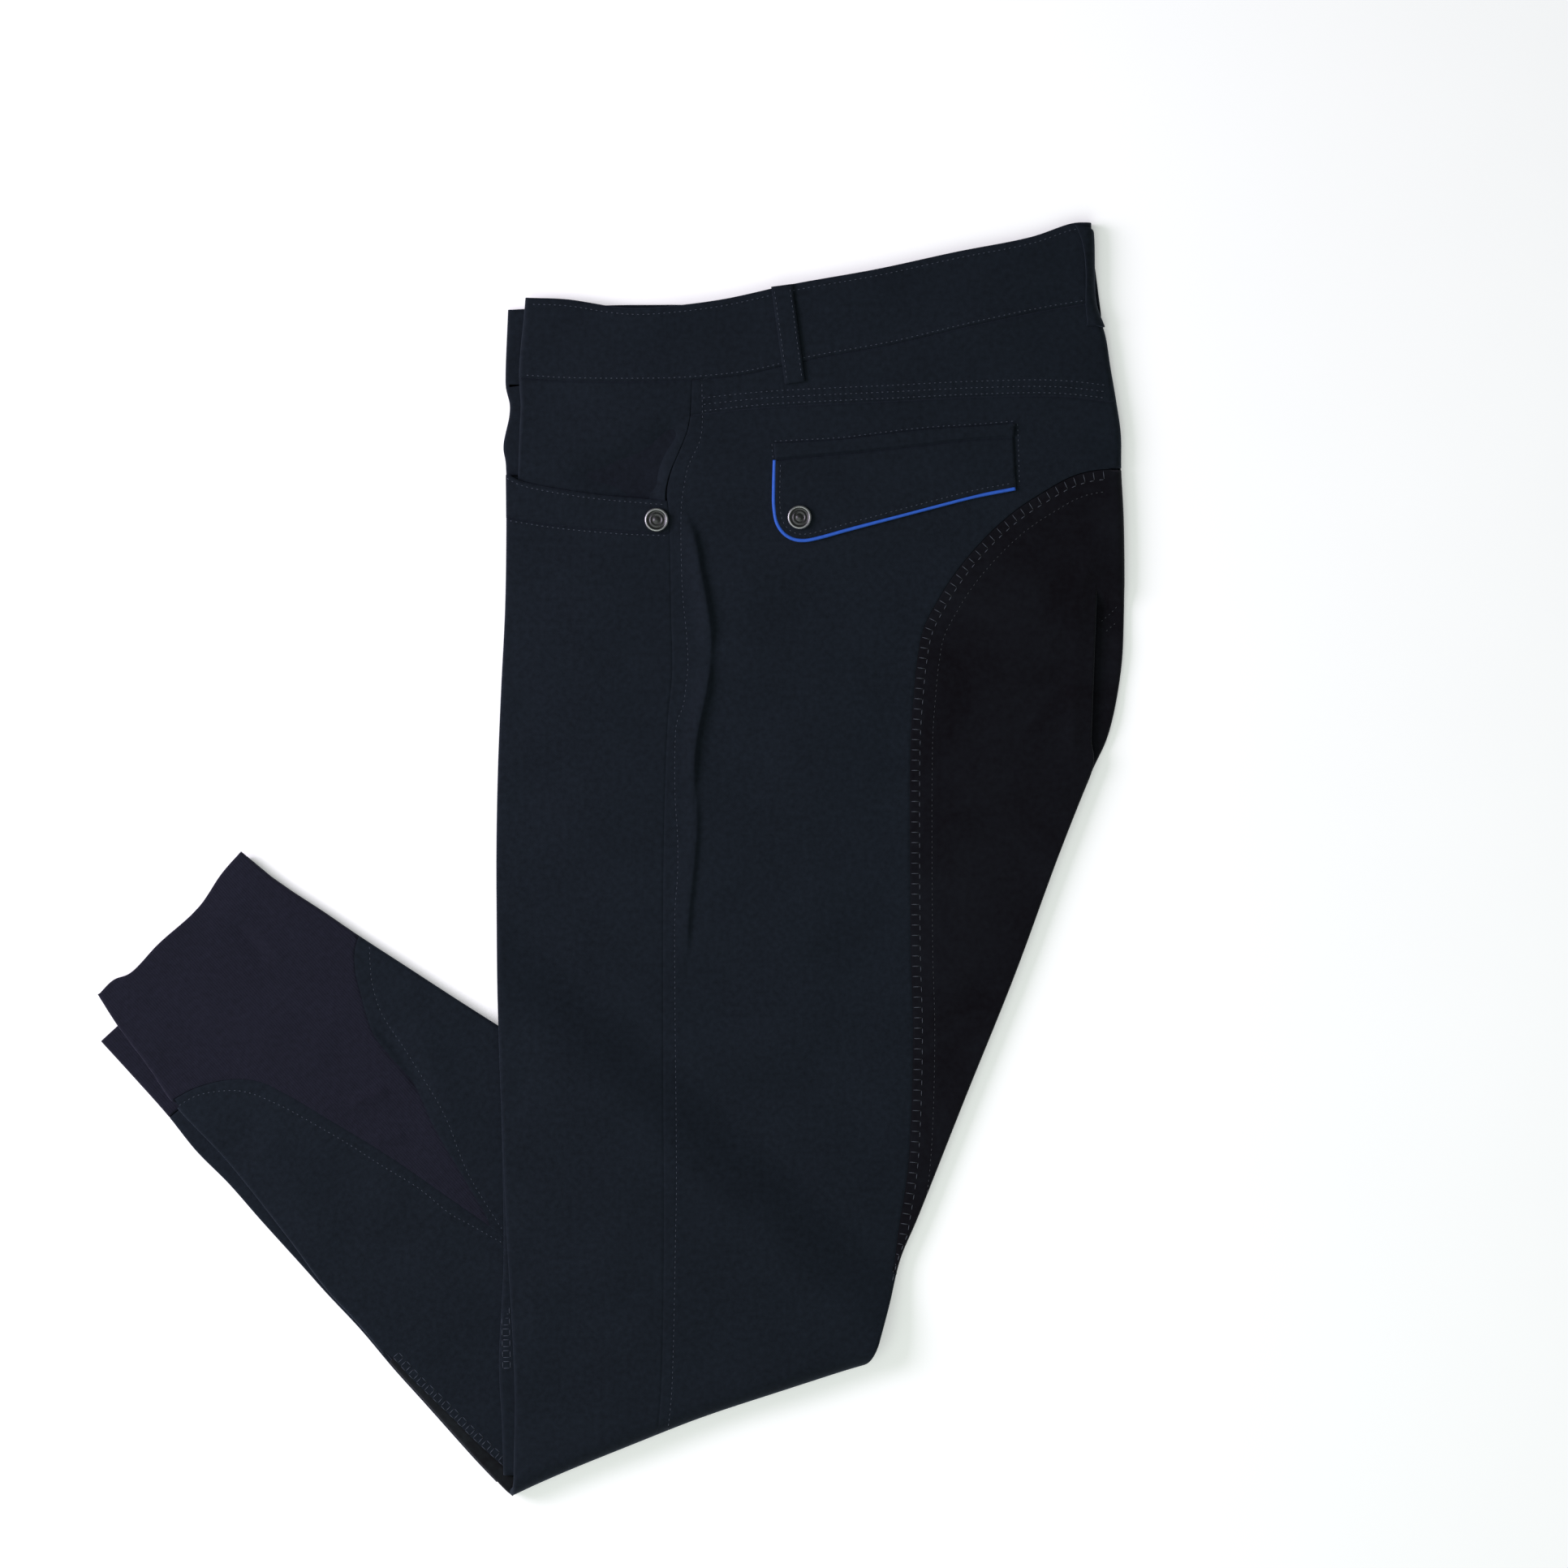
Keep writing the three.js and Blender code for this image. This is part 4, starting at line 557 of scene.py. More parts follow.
def to_knee(points, count, top):
    """A line from a height down to the knee's turn, and on round it."""
    rows = even(points, count, height_share(points, top), share_where(points, above_knee_turn))
    (pa, pb), (qa, qb) = knee_frame(rows[-2:])
    past = KNEE_TURN * KNEE_CURL * np.arange(1, KNEE_ROWS + 1) / KNEE_ROWS
    p = pb + (pb - pa) / (qa - qb) * past
    return np.vstack([rows, from_knee_frame(p, KNEE_CURL + knee_bow(p) - past)])


def columns(wide, step, near=SEWN_NEAR, left=True, right=True):
    """Shares across a panel, closer together where it is sewn."""
    first = np.array(near) / wide if left else np.array([])
    last = 1 - np.array(near[::-1]) / wide if right else np.array([])
    start = first[-1] if left else 0.0
    end = last[0] if right else 1.0
    middle = np.linspace(start, end, max(2, round((end - start) * wide / step)) + 1)
    return np.unique(np.concatenate([[0.0], first, middle, last, [1.0]]).round(6))


def patch(left, right, shares, top=None, bottom=None, fade=1):
    """Plan of a panel between its left and right edges, whose top and bottom rows may curve.

    A higher fade straightens the rows sooner below a curved top.
    """
    t = np.linspace(0, 1, len(left))[:, None, None]
    s = np.asarray(shares)[None, :, None]
    plan = mix(left[:, None], right[:, None], s)
    if top is not None:
        plan = plan + (1 - t) ** fade * (top[None] - mix(left[0], right[0], s[0])[None])
    if bottom is not None:
        plan = plan + t * (bottom[None] - mix(left[-1], right[-1], s[0])[None])
    return plan


def lay(plan, height):
    """A panel's plan lifted on to a height: its points, and the flat place of each in the cloth."""
    z = height(plan[..., 0], plan[..., 1])
    return np.concatenate([plan, z[..., None]], axis=-1), plan.copy()


def turned_edge(cloth, side, radius, end=CURL_END, steps=CURL_STEPS):
    """The columns that carry on round a folded edge at the left side, 1, or the right side, -1."""
    points, flat = cloth
    column = 0 if side == 1 else -1
    out = outward(points[:, column, :2], side)[:, None]
    turn = np.linspace(0, end, steps + 1)[None, :, None]
    radius = np.broadcast_to(radius, (len(points),))[:, None, None]
    start = points[:, column][:, None]
    over = start[..., :2] + out * radius * np.sin(turn)
    drop = start[..., 2:] - radius * (1 - np.cos(turn))
    rolled = np.concatenate([over, np.broadcast_to(drop, over.shape[:2] + (1,))], axis=-1)
    laid = flat[:, column][:, None] + out * radius * turn
    if side == 1:
        rolled, laid = rolled[:, ::-1], laid[:, ::-1]
    return rolled, laid


def with_edge(cloth, side, radius, **kwargs):
    """A panel together with the columns round one of its edges."""
    edge = turned_edge(cloth, side, radius, **kwargs)
    pair = (edge, cloth) if side == 1 else (cloth, edge)
    skip = (slice(None, -1), slice(None)) if side == 1 else (slice(None), slice(1, None))
    return tuple(np.concatenate([pair[0][k][:, skip[0]], pair[1][k][:, skip[1]]], axis=1) for k in (0, 1))


def over_front(cloth, floor):
    """A panel together with its fold at the front, down to what it folds over."""
    first = cloth[0][:, 0]
    return with_edge(cloth, 1, (first[:, 2] - floor(first[:, 0], first[:, 1]) - GAP) / 2)


def rows_of(cloth, start, end):
    return cloth[0][start:end], cloth[1][start:end]


def bent(cloth):
    return knee_bend(cloth[0]), cloth[1]


def distances(flat, lines):
    """Distance of each place from the nearest of some lines, and how far along it is."""
    if not lines:
        return np.full(len(flat), FAR), np.zeros(len(flat))
    spaced = [even(line, max(4, round(lengths(line)[-1] / MARK_STEP))) for line in lines]
    places = np.vstack(spaced)
    runs = np.concatenate([lengths(line) for line in spaced])
    tree = KDTree(len(places))
    for i, (x, y) in enumerate(places):
        tree.insert((x, y, 0), i)
    tree.balance()
    found = [tree.find((x, y, 0)) for x, y in flat]
    away = np.array([f[2] for f in found])
    run = runs[[f[1] for f in found]]
    return np.minimum(away, FAR), run


def grid_mesh(name, cloth, seams, stitches, grain):
    """One rectangle of cloth shaped from a grid, with its weave, seams and stitch rows marked."""
    points, flat = cloth[0][::-1], cloth[1][::-1]
    rows, count = points.shape[:2]
    bm = bmesh.new()
    bmesh.ops.create_grid(bm, x_segments=count - 1, y_segments=rows - 1, size=0.5)
    mesh = bpy.data.meshes.new(name)
    bm.to_mesh(mesh)
    bm.free()
    mesh.vertices.foreach_set("co", (points.reshape(-1, 3) * MM).ravel())
    flat = flat.reshape(-1, 2)
    turn = math.radians(grain)
    weave = np.column_stack([
        flat[:, 0] * math.cos(turn) + flat[:, 1] * math.sin(turn),
        flat[:, 1] * math.cos(turn) - flat[:, 0] * math.sin(turn),
    ]) * MM
    corners = np.empty(len(mesh.loops), dtype=np.int32)
    mesh.loops.foreach_get("vertex_index", corners)
    layer = mesh.uv_layers.new(name="weave")
    layer.data.foreach_set("uv", weave[corners].ravel())
    away, _ = distances(flat, seams)
    from_stitch, run = distances(flat, stitches)
    for label, values in (("seam", away), ("stitch", from_stitch), ("run", run)):
        measure = mesh.attributes.new(label, "FLOAT", "POINT")
        measure.data.foreach_set("value", (values * MM).astype(np.float32))
    return mesh


def finished(name, bm, slot, node=None, material=None):
    """A piece made from a bmesh, in the place of a node of the solids where it has one."""
    for face in bm.faces:
        face.smooth = True
    mesh = bpy.data.meshes.new(name)
    bm.to_mesh(mesh)
    bm.free()
    mesh.materials.append(material or material_of(slot))
    piece = bpy.data.objects.new(name, mesh)
    bpy.context.collection.objects.link(piece)
    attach(piece, "root")
    if node:
        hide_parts(node)
    return piece


def cloth_piece(node, parts, seams=(), stitches=(), slot="navy_stretch", finish=None, held="folded",
                rests_on="hidden_layers", thick=CLOTH, grain=0.0):
    """A piece of cloth in a node's place: its rectangles joined and thickened."""
    name = f"{node}_cloth"
    bm = bmesh.new()
    for i, cloth in enumerate(parts):
        mesh = grid_mesh(f"{name}_{i}", cloth, seams, stitches, grain)
        bm.from_mesh(mesh)
        bpy.data.meshes.remove(mesh)
    if len(parts) > 1:
        bmesh.ops.remove_doubles(bm, verts=bm.verts, dist=JOIN_WITHIN)
    piece = finished(name, bm, slot, node, material_of(finish or slot))
    wall = piece.modifiers.new("wall", "SOLIDIFY")
    wall.thickness = thick * MM
    wall.offset = -1
    wall.use_even_offset = False


def beside(line, count, start, end, distance):
    """A row of stitches at an even distance from a seam, to its left where that is above zero."""
    return offset(even(line, count, start, end), distance)


UPPER_ROWS = {
    "waist_edge": beside(waist_top, 300, 0.01, 0.985, -3.6),
    "waist_seam": beside(waist_seam, 300, 0.01, 0.985, 1.7),
    "side": curve(SIDE_STITCHES),
    "yoke_low": beside(yoke_seam, 200, 0.03, 0.97, 1.5),
    "yoke_middle": beside(yoke_seam, 200, 0.03, 0.97, 5.0),
    "yoke_high": beside(yoke_seam, 200, 0.03, 0.97, 8.6),
    "opening": beside(opening, 120, 0.02, 0.985, -2.3),
    "band": beside(band_seam, 120, 0.02, 0.985, -1.8),
    "patch_inner": beside(patch_seam, *SEAT_STRETCH, 12.2),
    "welt": beside(curve(WELT_TOP), 120, 0.0, 1.0, 1.4),
    "welt_side": curve([(89.2, 231), (89.4, 226), (90, 221.5)], 40),
    "flap_side": curve([(225.3, 242), (226, 226), (226.4, 208)], 60),
    "flap": beside(curve(PIPING), 200, 0.01, 0.99, 3.4),
}
UPPER_STITCHES = list(UPPER_ROWS.values())
LOWER_STITCHES = [curve(INSERT_UPPER_STITCHES), curve(INSERT_LOWER_STITCHES)]
HIP_LINE = np.array([(45, 265.8), (44.1, 246.2)])


# Materials
RUBBED = (1.12, 0.94, 1.0)
NAPPED = (0.93, 1.06, 1.0)
PLAIN = (1, 1, 1)
TURN = 6.2832
TWILL_PITCH = 0.0009
TWILL_SLOPE = 0.62
CROSS_RATE = 11.4
PUCKER_PITCH = 0.0052
GROOVE = {"wide": 0.0008, "deep": -0.75}
DENT = {"wide": 0.0007, "deep": -0.38}
SWELL = {"wide": 0.0036, "high": 0.22, "pucker": 0.16}
SEAM_BUMP = (0.9, 0.00032)
KNIT = {"pitch": 0.0013, "rib": 1.35, "course": 0.9}
CORD_RIB = 0.8
# Radii at which the snap's painted shade over its centre turns into the painted highlight on its rim
SNAP_HIGHLIGHT_RIM = (0.0052, 0.0056)


def set_inputs(node, values):
    for key, value in values.items():
        node.inputs[key].default_value = value


def add_node(tree, kind, inputs=None, links=None, **settings):
    """A node with its settings, constants and incoming links."""
    node = tree.nodes.new(kind)
    for key, value in settings.items():
        setattr(node, key, value)
    set_inputs(node, inputs or {})
    for key, source in (links or {}).items():
        tree.links.new(source, node.inputs[key])
    return node


def maths(tree, operation, first, second=None, third=None):
    node = tree.nodes.new("ShaderNodeMath")
    node.operation = operation
    for socket, value in zip(node.inputs, (first, second, third)):
        if value is None:
            continue
        if isinstance(value, (int, float)):
            socket.default_value = value
        else:
            tree.links.new(value, socket)
    return node.outputs[0]


def new_group(name, inputs, outputs):
    tree = bpy.data.node_groups.new(name, "ShaderNodeTree")
    for label, kind, default in inputs:
        socket = tree.interface.new_socket(name=label, in_out="INPUT", socket_type=kind)
        if default is not None:
            socket.default_value = default
    for label, kind in outputs:
        tree.interface.new_socket(name=label, in_out="OUTPUT", socket_type=kind)
    return tree, tree.nodes.new("NodeGroupInput"), tree.nodes.new("NodeGroupOutput")


def place_group(tree, name, inputs=None, links=None):
    return add_node(tree, "ShaderNodeGroup", inputs, links, node_tree=bpy.data.node_groups[name])


def weighted(tree, *terms):
    """Sum of values, each times its own share."""
    parts = [value if share == 1 else maths(tree, "MULTIPLY", value, share) for value, share in terms]
    total = parts[0]
    for part in parts[1:]:
        total = maths(tree, "ADD", total, part)
    return total


def wave(tree, value, rate):
    return maths(tree, "SINE", maths(tree, "MULTIPLY", value, rate))


def noise(tree, vector, scale, detail, **values):
    inputs = {"Scale": scale, "Detail": detail, **values}
    return add_node(tree, "ShaderNodeTexNoise", inputs, {"Vector": vector}).outputs[0]


def mark(tree, name):
    """A measure that the mesh carries at its points."""
    return add_node(tree, "ShaderNodeAttribute", attribute_name=name).outputs["Fac"]


def stretched(tree, value, low, high, to=(0, 1)):
    """A stretch of a value's range, brought to other ends."""
    ends = {"From Min": low, "From Max": high, "To Min": to[0], "To Max": to[1]}
    return add_node(tree, "ShaderNodeMapRange", ends, {"Value": value}).outputs[0]


def sewn_relief_group():
    """Height of the groove at a seam and of the puckers along a row of stitches."""
    tree, start, end = new_group(
        "Sewn relief",
        [("Pucker pitch", "NodeSocketFloat", PUCKER_PITCH), ("Depth", "NodeSocketFloat", 1.0)],
        [("Height", "NodeSocketFloat")],
    )
    seam, stitch, run = (mark(tree, name) for name in ("seam", "stitch", "run"))

    def bell(distance, wide):
        ratio = maths(tree, "DIVIDE", distance, wide)
        return maths(tree, "EXPONENT", maths(tree, "MULTIPLY", maths(tree, "MULTIPLY", ratio, ratio), -1.0))

    groove, dent, swell = bell(seam, GROOVE["wide"]), bell(stitch, DENT["wide"]), bell(stitch, SWELL["wide"])
    phase = maths(tree, "DIVIDE", run, start.outputs["Pucker pitch"])
    uneven = add_node(
        tree, "ShaderNodeTexNoise", {"Scale": 130.0, "Detail": 1.0}, {"W": run}, noise_dimensions="1D",
    ).outputs[0]
    pucker = maths(tree, "MULTIPLY", wave(tree, maths(tree, "ADD", phase, uneven), TURN), swell)
    total = weighted(
        tree, (groove, GROOVE["deep"]), (dent, DENT["deep"]),
        (pucker, SWELL["pucker"]), (swell, SWELL["high"]),
    )
    tree.links.new(maths(tree, "MULTIPLY", total, start.outputs["Depth"]), end.inputs["Height"])


def weave_group():
    """Fine twill with slightly uneven yarns, from the cloth's own coordinates in metres."""
    tree, start, end = new_group(
        "Stretch twill",
        [("Vector", "NodeSocketVector", None), ("Pitch", "NodeSocketFloat", TWILL_PITCH)],
        [("Height", "NodeSocketFloat"), ("Mottle", "NodeSocketFloat")],
    )
    vector = start.outputs["Vector"]
    links = {0: vector, "Scale": maths(tree, "DIVIDE", 1.0, start.outputs["Pitch"])}
    scaled = add_node(tree, "ShaderNodeVectorMath", links=links, operation="SCALE").outputs[0]
    x, y, _ = add_node(tree, "ShaderNodeSeparateXYZ", links={0: scaled}).outputs
    rib = wave(tree, weighted(tree, (x, 1), (y, TWILL_SLOPE)), TURN)
    woven = weighted(tree, (rib, 1), (wave(tree, y, CROSS_RATE), 0.45))
    fuzz = noise(tree, vector, 1500, 3, Roughness=0.7)
    grain = noise(tree, vector, 330, 4, Roughness=0.62)
    broad = noise(tree, vector, 26, 5, Roughness=0.6)
    rough = weighted(tree, (fuzz, 0.5), (grain, 1))
    tree.links.new(weighted(tree, (woven, 0.18), (rough, 1)), end.inputs["Height"])
    tree.links.new(weighted(tree, (broad, 0.3), (grain, 0.7)), end.inputs["Mottle"])


def new_material(name, mapped):
    """A material, its nodes, its shader and its coordinates."""
    material = bpy.data.materials.new(name)
    material.use_nodes = True
    tree = material.node_tree
    return material, tree, tree.nodes["Principled BSDF"], tree.nodes.new("ShaderNodeTexCoord").outputs[mapped]


def lighter(colour, factor, tint=PLAIN):
    return (*(min(1.0, c * factor * t) for c, t in zip(colour, tint)), 1.0)


def paint(tree, shader, dark, light, factor):
    """Base colour between a darker and a lighter one."""
    base = add_node(tree, "ShaderNodeMix", {"A": dark, "B": light}, {"Factor": factor}, data_type="RGBA")
    tree.links.new(base.outputs["Result"], shader.inputs["Base Color"])


def bumps(tree, shader, *layers):
    """Bumps on top of each other, the finest first. Each has its strength, distance and height."""
    links = {}
    for strength, distance, height in layers:
        values = {"Strength": strength, "Distance": distance}
        links = {"Normal": add_node(tree, "ShaderNodeBump", values, {"Height": height, **links}).outputs[0]}
    tree.links.new(links["Normal"], shader.inputs["Normal"])


def cloth_material(name, colour, mapped="UV"):
    """Dull woven cloth: mottled colour, twill bump and seam relief."""
    material, tree, shader, vector = new_material(name, mapped)
    weave = place_group(tree, "Stretch twill", {"Pitch": TWILL_PITCH}, {"Vector": vector}).outputs
    mottle = stretched(tree, weave["Mottle"], 0.3, 0.7)
    paint(tree, shader, lighter(colour, 0.66), lighter(colour, 1.34), mottle)
    relief = place_group(tree, "Sewn relief").outputs["Height"] if mapped == "UV" else weave["Mottle"]
    bumps(tree, shader, (0.55, 0.00016, weave["Height"]), (*SEAM_BUMP, relief))
    set_inputs(shader, {
        "Roughness": 0.82, "Sheen Weight": 0.14, "Sheen Roughness": 0.42,
        "Sheen Tint": (0.5, 0.6, 0.85, 1.0), "Specular IOR Level": 0.07,
    })
    return material


def knit_material(name, colour):
    """Ribbed elastic knit that runs along the leg."""
    material, tree, shader, vector = new_material(name, "UV")
    weave = place_group(tree, "Stretch twill", {"Pitch": KNIT["pitch"]}, {"Vector": vector}).outputs
    x, y, _ = add_node(tree, "ShaderNodeSeparateXYZ", links={0: vector}).outputs
    rib, course = wave(tree, x, TURN / MM / KNIT["rib"]), wave(tree, y, TURN / MM / KNIT["course"])
    mottle = stretched(tree, weave["Mottle"], 0.3, 0.7)
    paint(tree, shader, lighter(colour, 0.75), lighter(colour, 1.3), mottle)
    height = weighted(tree, (rib, 0.45), (course, 0.2), (weave["Height"], 1))
    relief = place_group(tree, "Sewn relief").outputs["Height"]
    bumps(tree, shader, (0.6, 0.0002, height), (*SEAM_BUMP, relief))
    set_inputs(shader, {
        "Roughness": 0.78, "Sheen Weight": 0.16, "Sheen Roughness": 0.4,
        "Sheen Tint": (0.62, 0.6, 0.85, 1.0), "Specular IOR Level": 0.08,
    })
    return material


def suede_material(name, colour):
    """Short-napped synthetic suede with rubbed lighter and darker areas."""
    material, tree, shader, vector = new_material(name, "UV")
    nap = noise(tree, vector, 2200, 2, Roughness=0.7)
    brushed = noise(tree, vector, 16, 7, Roughness=0.66, Distortion=0.6)
    grain = noise(tree, vector, 300, 3)
    worn = stretched(tree, weighted(tree, (brushed, 0.7), (grain, 0.3)), 0.36, 0.64)
    paint(tree, shader, lighter(colour, 0.6, RUBBED), lighter(colour, 1.6, NAPPED), worn)
    height = weighted(tree, (nap, 1), (grain, 0.8))
    relief = place_group(tree, "Sewn relief").outputs["Height"]
    bumps(tree, shader, (0.5, 0.00014, height), (*SEAM_BUMP, relief))
    set_inputs(shader, {
        "Roughness": 0.93, "Sheen Weight": 0.16, "Sheen Roughness": 0.5,
        "Sheen Tint": (0.6, 0.58, 0.68, 1.0), "Specular IOR Level": 0.04,
    })
    return material


def thread_material(name, colour):
    """Twisted sewing thread."""
    material, tree, shader, vector = new_material(name, "Object")
    fibres = noise(tree, vector, 900, 3)
    paint(tree, shader, lighter(colour, 0.7), lighter(colour, 1.3), fibres)
    bumps(tree, shader, (0.5, 0.0001, fibres))
    set_inputs(shader, {"Roughness": 0.55, "Sheen Weight": 0.2, "Specular IOR Level": 0.4})
    return material


def cord_material(name, colour):
    """Satin piping wound over a cord."""
    material, tree, shader, vector = new_material(name, "Object")
    x, y, _ = add_node(tree, "ShaderNodeSeparateXYZ", links={0: vector}).outputs
    ribs = wave(tree, maths(tree, "ADD", x, y), TURN / MM / CORD_RIB)
    satin = noise(tree, vector, 420, 3)
    paint(tree, shader, lighter(colour, 0.78), lighter(colour, 1.2), satin)
    bumps(tree, shader, (0.5, 0.00015, weighted(tree, (ribs, 0.3), (satin, 1))))
    set_inputs(shader, {"Roughness": 0.5, "Sheen Weight": 0.06, "Specular IOR Level": 0.25})
    return material


def steel_material(name, colour):
    """Brushed steel with a painted highlight on its rim and painted shade over its centre, duller where
    fingers have rubbed it.
    """
    material, tree, shader, vector = new_material(name, "Object")
    rubbed = noise(tree, vector, 260, 4)
    fine = noise(tree, vector, 2600, 2)
    # Painted light: the rim is painted bright as a highlight and the centre dark as shade, with rubbed wear
    # varying both
    painted_rim_highlight = stretched(tree, mark(tree, "ring"), *SNAP_HIGHLIGHT_RIM, (0.17, 1.0))
    painted_light_and_wear = maths(tree, "MULTIPLY", painted_rim_highlight, maths(tree, "ADD", maths(tree, "MULTIPLY", rubbed, 0.4), 0.75))
    paint(tree, shader, lighter(colour, 0.0), lighter(colour, 1.0), painted_light_and_wear)
    tree.links.new(stretched(tree, rubbed, 0.3, 0.7, (0.3, 0.5)), shader.inputs["Roughness"])
    bumps(tree, shader, (0.25, 0.00008, fine))
    set_inputs(shader, {"Metallic": 1.0})
    return material


# How each finish is made, with its colour's name
FINISHES = {
    "navy_stretch": (cloth_material, "navy"),
    "suede_patch": (suede_material, "suede"),
    "suede_end": (suede_material, "suede_end"),
    "elastic_knit": (knit_material, "elastic"),
    "inner_cloth": (cloth_material, "inner", "Object"),
    "blue_piping": (cord_material, "piping"),
    "snap_metal": (steel_material, "steel"),
    "thread": (thread_material, "thread"),
    "dark_thread": (thread_material, "dark_thread"),
    "pale_thread": (thread_material, "pale_thread"),
}


def material_of(finish):
    """One of the finishes, made once."""
    name = f"breeches_{finish}"
    if name in bpy.data.materials:
        return bpy.data.materials[name]
    if "Sewn relief" not in bpy.data.node_groups:
        sewn_relief_group()
        weave_group()
    maker, colour, *mapped = FINISHES[finish]
    return maker(name, getattr(bpy.context.scene.breeches_colours, colour), *mapped)


# Sizes and colours
def length_property(name, description, default):
    return FloatProperty(name=name, description=description, default=default, unit="LENGTH")


def colour_property(name, description, default):
    return FloatVectorProperty(
        name=name, description=description, subtype="COLOR", size=3, min=0, max=1, default=default,
    )


class BreechesSizes(bpy.types.PropertyGroup):
    stitch_length: length_property("Stitch length", "From one topstitch to the next", 0.0029)
    thread_width: length_property("Thread width", "Width of the topstitching thread", 0.00045)
    ladder_pitch: length_property("Ladder pitch", "From one ladder stitch to the next", 0.0057)
    box_pitch: length_property("Box pitch", "From one boxed ladder stitch to the next", 0.0064)
    snap_segments: IntProperty(name="Snap segments", description="Faces round a snap", default=48, min=12)


class BreechesColours(bpy.types.PropertyGroup):
    navy: colour_property("Navy", "Stretch cloth", (0.0077, 0.0108, 0.0161))
    suede: colour_property("Suede", "Full-seat patch", (0.0047, 0.0046, 0.0067))
    suede_end: colour_property("Suede end", "Rubbed patch below the knee", (0.0078, 0.0086, 0.0102))
    elastic: colour_property("Elastic", "Calf insert", (0.0100, 0.0103, 0.0185))
    inner: colour_property("Inner cloth", "Hidden layers", (0.0070, 0.0088, 0.0140))
    piping: colour_property("Piping", "Cord round the pocket flap", (0.0240, 0.1080, 0.5400))
    steel: colour_property("Steel", "Snaps", (0.3600, 0.3600, 0.3700))
    thread: colour_property("Thread", "Topstitching", (0.0330, 0.0430, 0.0700))
    dark_thread: colour_property("Dark thread", "Topstitching on the suede", (0.0190, 0.0215, 0.0310))
    pale_thread: colour_property("Pale thread", "Ladder stitches", (0.0500, 0.0580, 0.0790))


def behind_fold(points):
    return points + np.array([LEG_CURL, 0])


top_edge = np.column_stack([top_edge_at(seat_edge[:, 1]), seat_edge[:, 1]])
inner_seat_edge = top_edge - np.column_stack([seat_curl_at(top_edge[:, 1]), np.zeros(len(top_edge))])
patch_start = max(share_where(patch_seam, lambda p: p[:, 0] - inner_seat_edge[:, 0].max()), PATCH_FIRST)


def row_within(line, shares, start_x, end_x):
    """A seam's points at shares of its stretch between two places across the garment."""
    start, end = (share_where(line, lambda p, x=x: x - p[:, 0]) for x in (start_x, end_x))
    return at_shares(line, mix(start, end, np.asarray(shares)))


def between_seams(left, right, shares, top, low=None):
    """Plan of a panel whose top row, and bottom row where one is given, follow seams."""
    first = row_within(top, shares, left[0, 0], right[0, 0])
    last = None if low is None else row_within(low, shares, left[-1, 0], right[-1, 0])
    return patch(left, right, shares, first, last)


def right_strip(line, rows, top, low):
    """Strip of the right half that shows past the left one's front fold."""
    edge = behind_fold(between(line, rows, top, low))
    strip = patch(edge, edge + (STRIP["wide"], 0), np.linspace(0, 1, STRIP["columns"]))
    return over_front(lay(strip, right_thigh_top), lift_at)


class BREECHES_OT_waistbands(bpy.types.Operator):
    """The left waistband, and the right one that shows behind it"""
    bl_idname = "breeches.waistbands"
    bl_label = "Waistbands"

    def execute(self, context):
        rows = ROWS["waistband"]
        shares = columns(*COLUMNS["waistband"], near=WAISTBAND_NEAR)
        left = behind_fold(between(fold_top, rows, TOP_FRONT, WAIST_FRONT))
        right = between(inner_seat_edge, rows, TOP_SEAT, WAIST_SEAT)
        plan = between_seams(left, right, shares, waist_top, waist_seam)
        band = over_front(lay(plan, lambda x, y: thigh_top(x, y) + WAISTBAND_RISE), right_thigh_top)
        band = with_edge(band, -1, SEAT_CURL)
        cloth_piece("waistband_left", [band], [waist_seam, waist_top], UPPER_STITCHES)
        rows = ROWS["right_waistband"]
        shares = columns(*COLUMNS["right_waistband"], right=False)
        left = behind_fold(between(right_fold_top, rows, RIGHT_TOP, RIGHT_WAIST))
        right = even(np.array(RIGHT_WAIST_END, float), rows)
        seam = curve(RIGHT_WAIST_TOP)
        band = over_front(lay(between_seams(left, right, shares, seam), right_thigh_top), lift_at)
        cloth_piece("waistband_right", [band], [seam])
        return {"FINISHED"}


class BREECHES_OT_hip_pockets(bpy.types.Operator):
    """Hip facings and the band of the front pocket"""
    bl_idname = "breeches.hip_pockets"
    bl_label = "Hip pockets"

    def execute(self, context):
        rows = ROWS["facing"]
        shares = columns(*COLUMNS["facing"])
        left = behind_fold(between(fold_top, rows, WAIST_FRONT, FACING_LOW))
        side = between(side_seam, ROWS["facing_side"], YOKE_SIDE, OPENING_SIDE)
        right = even(np.vstack([HIP_LINE, side[1:], [FACING_CORNER]]), rows)
        top = row_within(waist_seam, shares, left[0, 0], right[0, 0])
        low = row_within(opening, shares, left[-1, 0], FACING_END) - np.array([0, FACING_UNDER])
        low = mix(low, np.array([left[-1]]), (1 - smooth(0, FACING_RAMP, shares))[:, None])
        facing = over_front(lay(patch(left, right, shares, top, low), facing_top), right_thigh_top)
        cloth_piece("pocket_facing_left", [facing], [waist_seam, HIP_LINE], UPPER_STITCHES)
        rows = ROWS["band"]
        left = behind_fold(between(front_fold, rows, OPENING_FRONT, BAND_FRONT))
        right = between(side_seam, rows, OPENING_SIDE, BAND_SIDE)
        plan = between_seams(left, right, shares, opening, band_seam)
        band = over_front(lay(plan, lambda x, y: thigh_top(x, y) + BAND_RISE), right_thigh_top)
        cloth_piece("pocket_band_left", [band], [band_seam, side_seam, opening], UPPER_STITCHES)
        cloth_piece("pocket_facing_right", [right_strip(right_fold_top, ROWS["right_facing"], *RIGHT_FACING)])
        return {"FINISHED"}


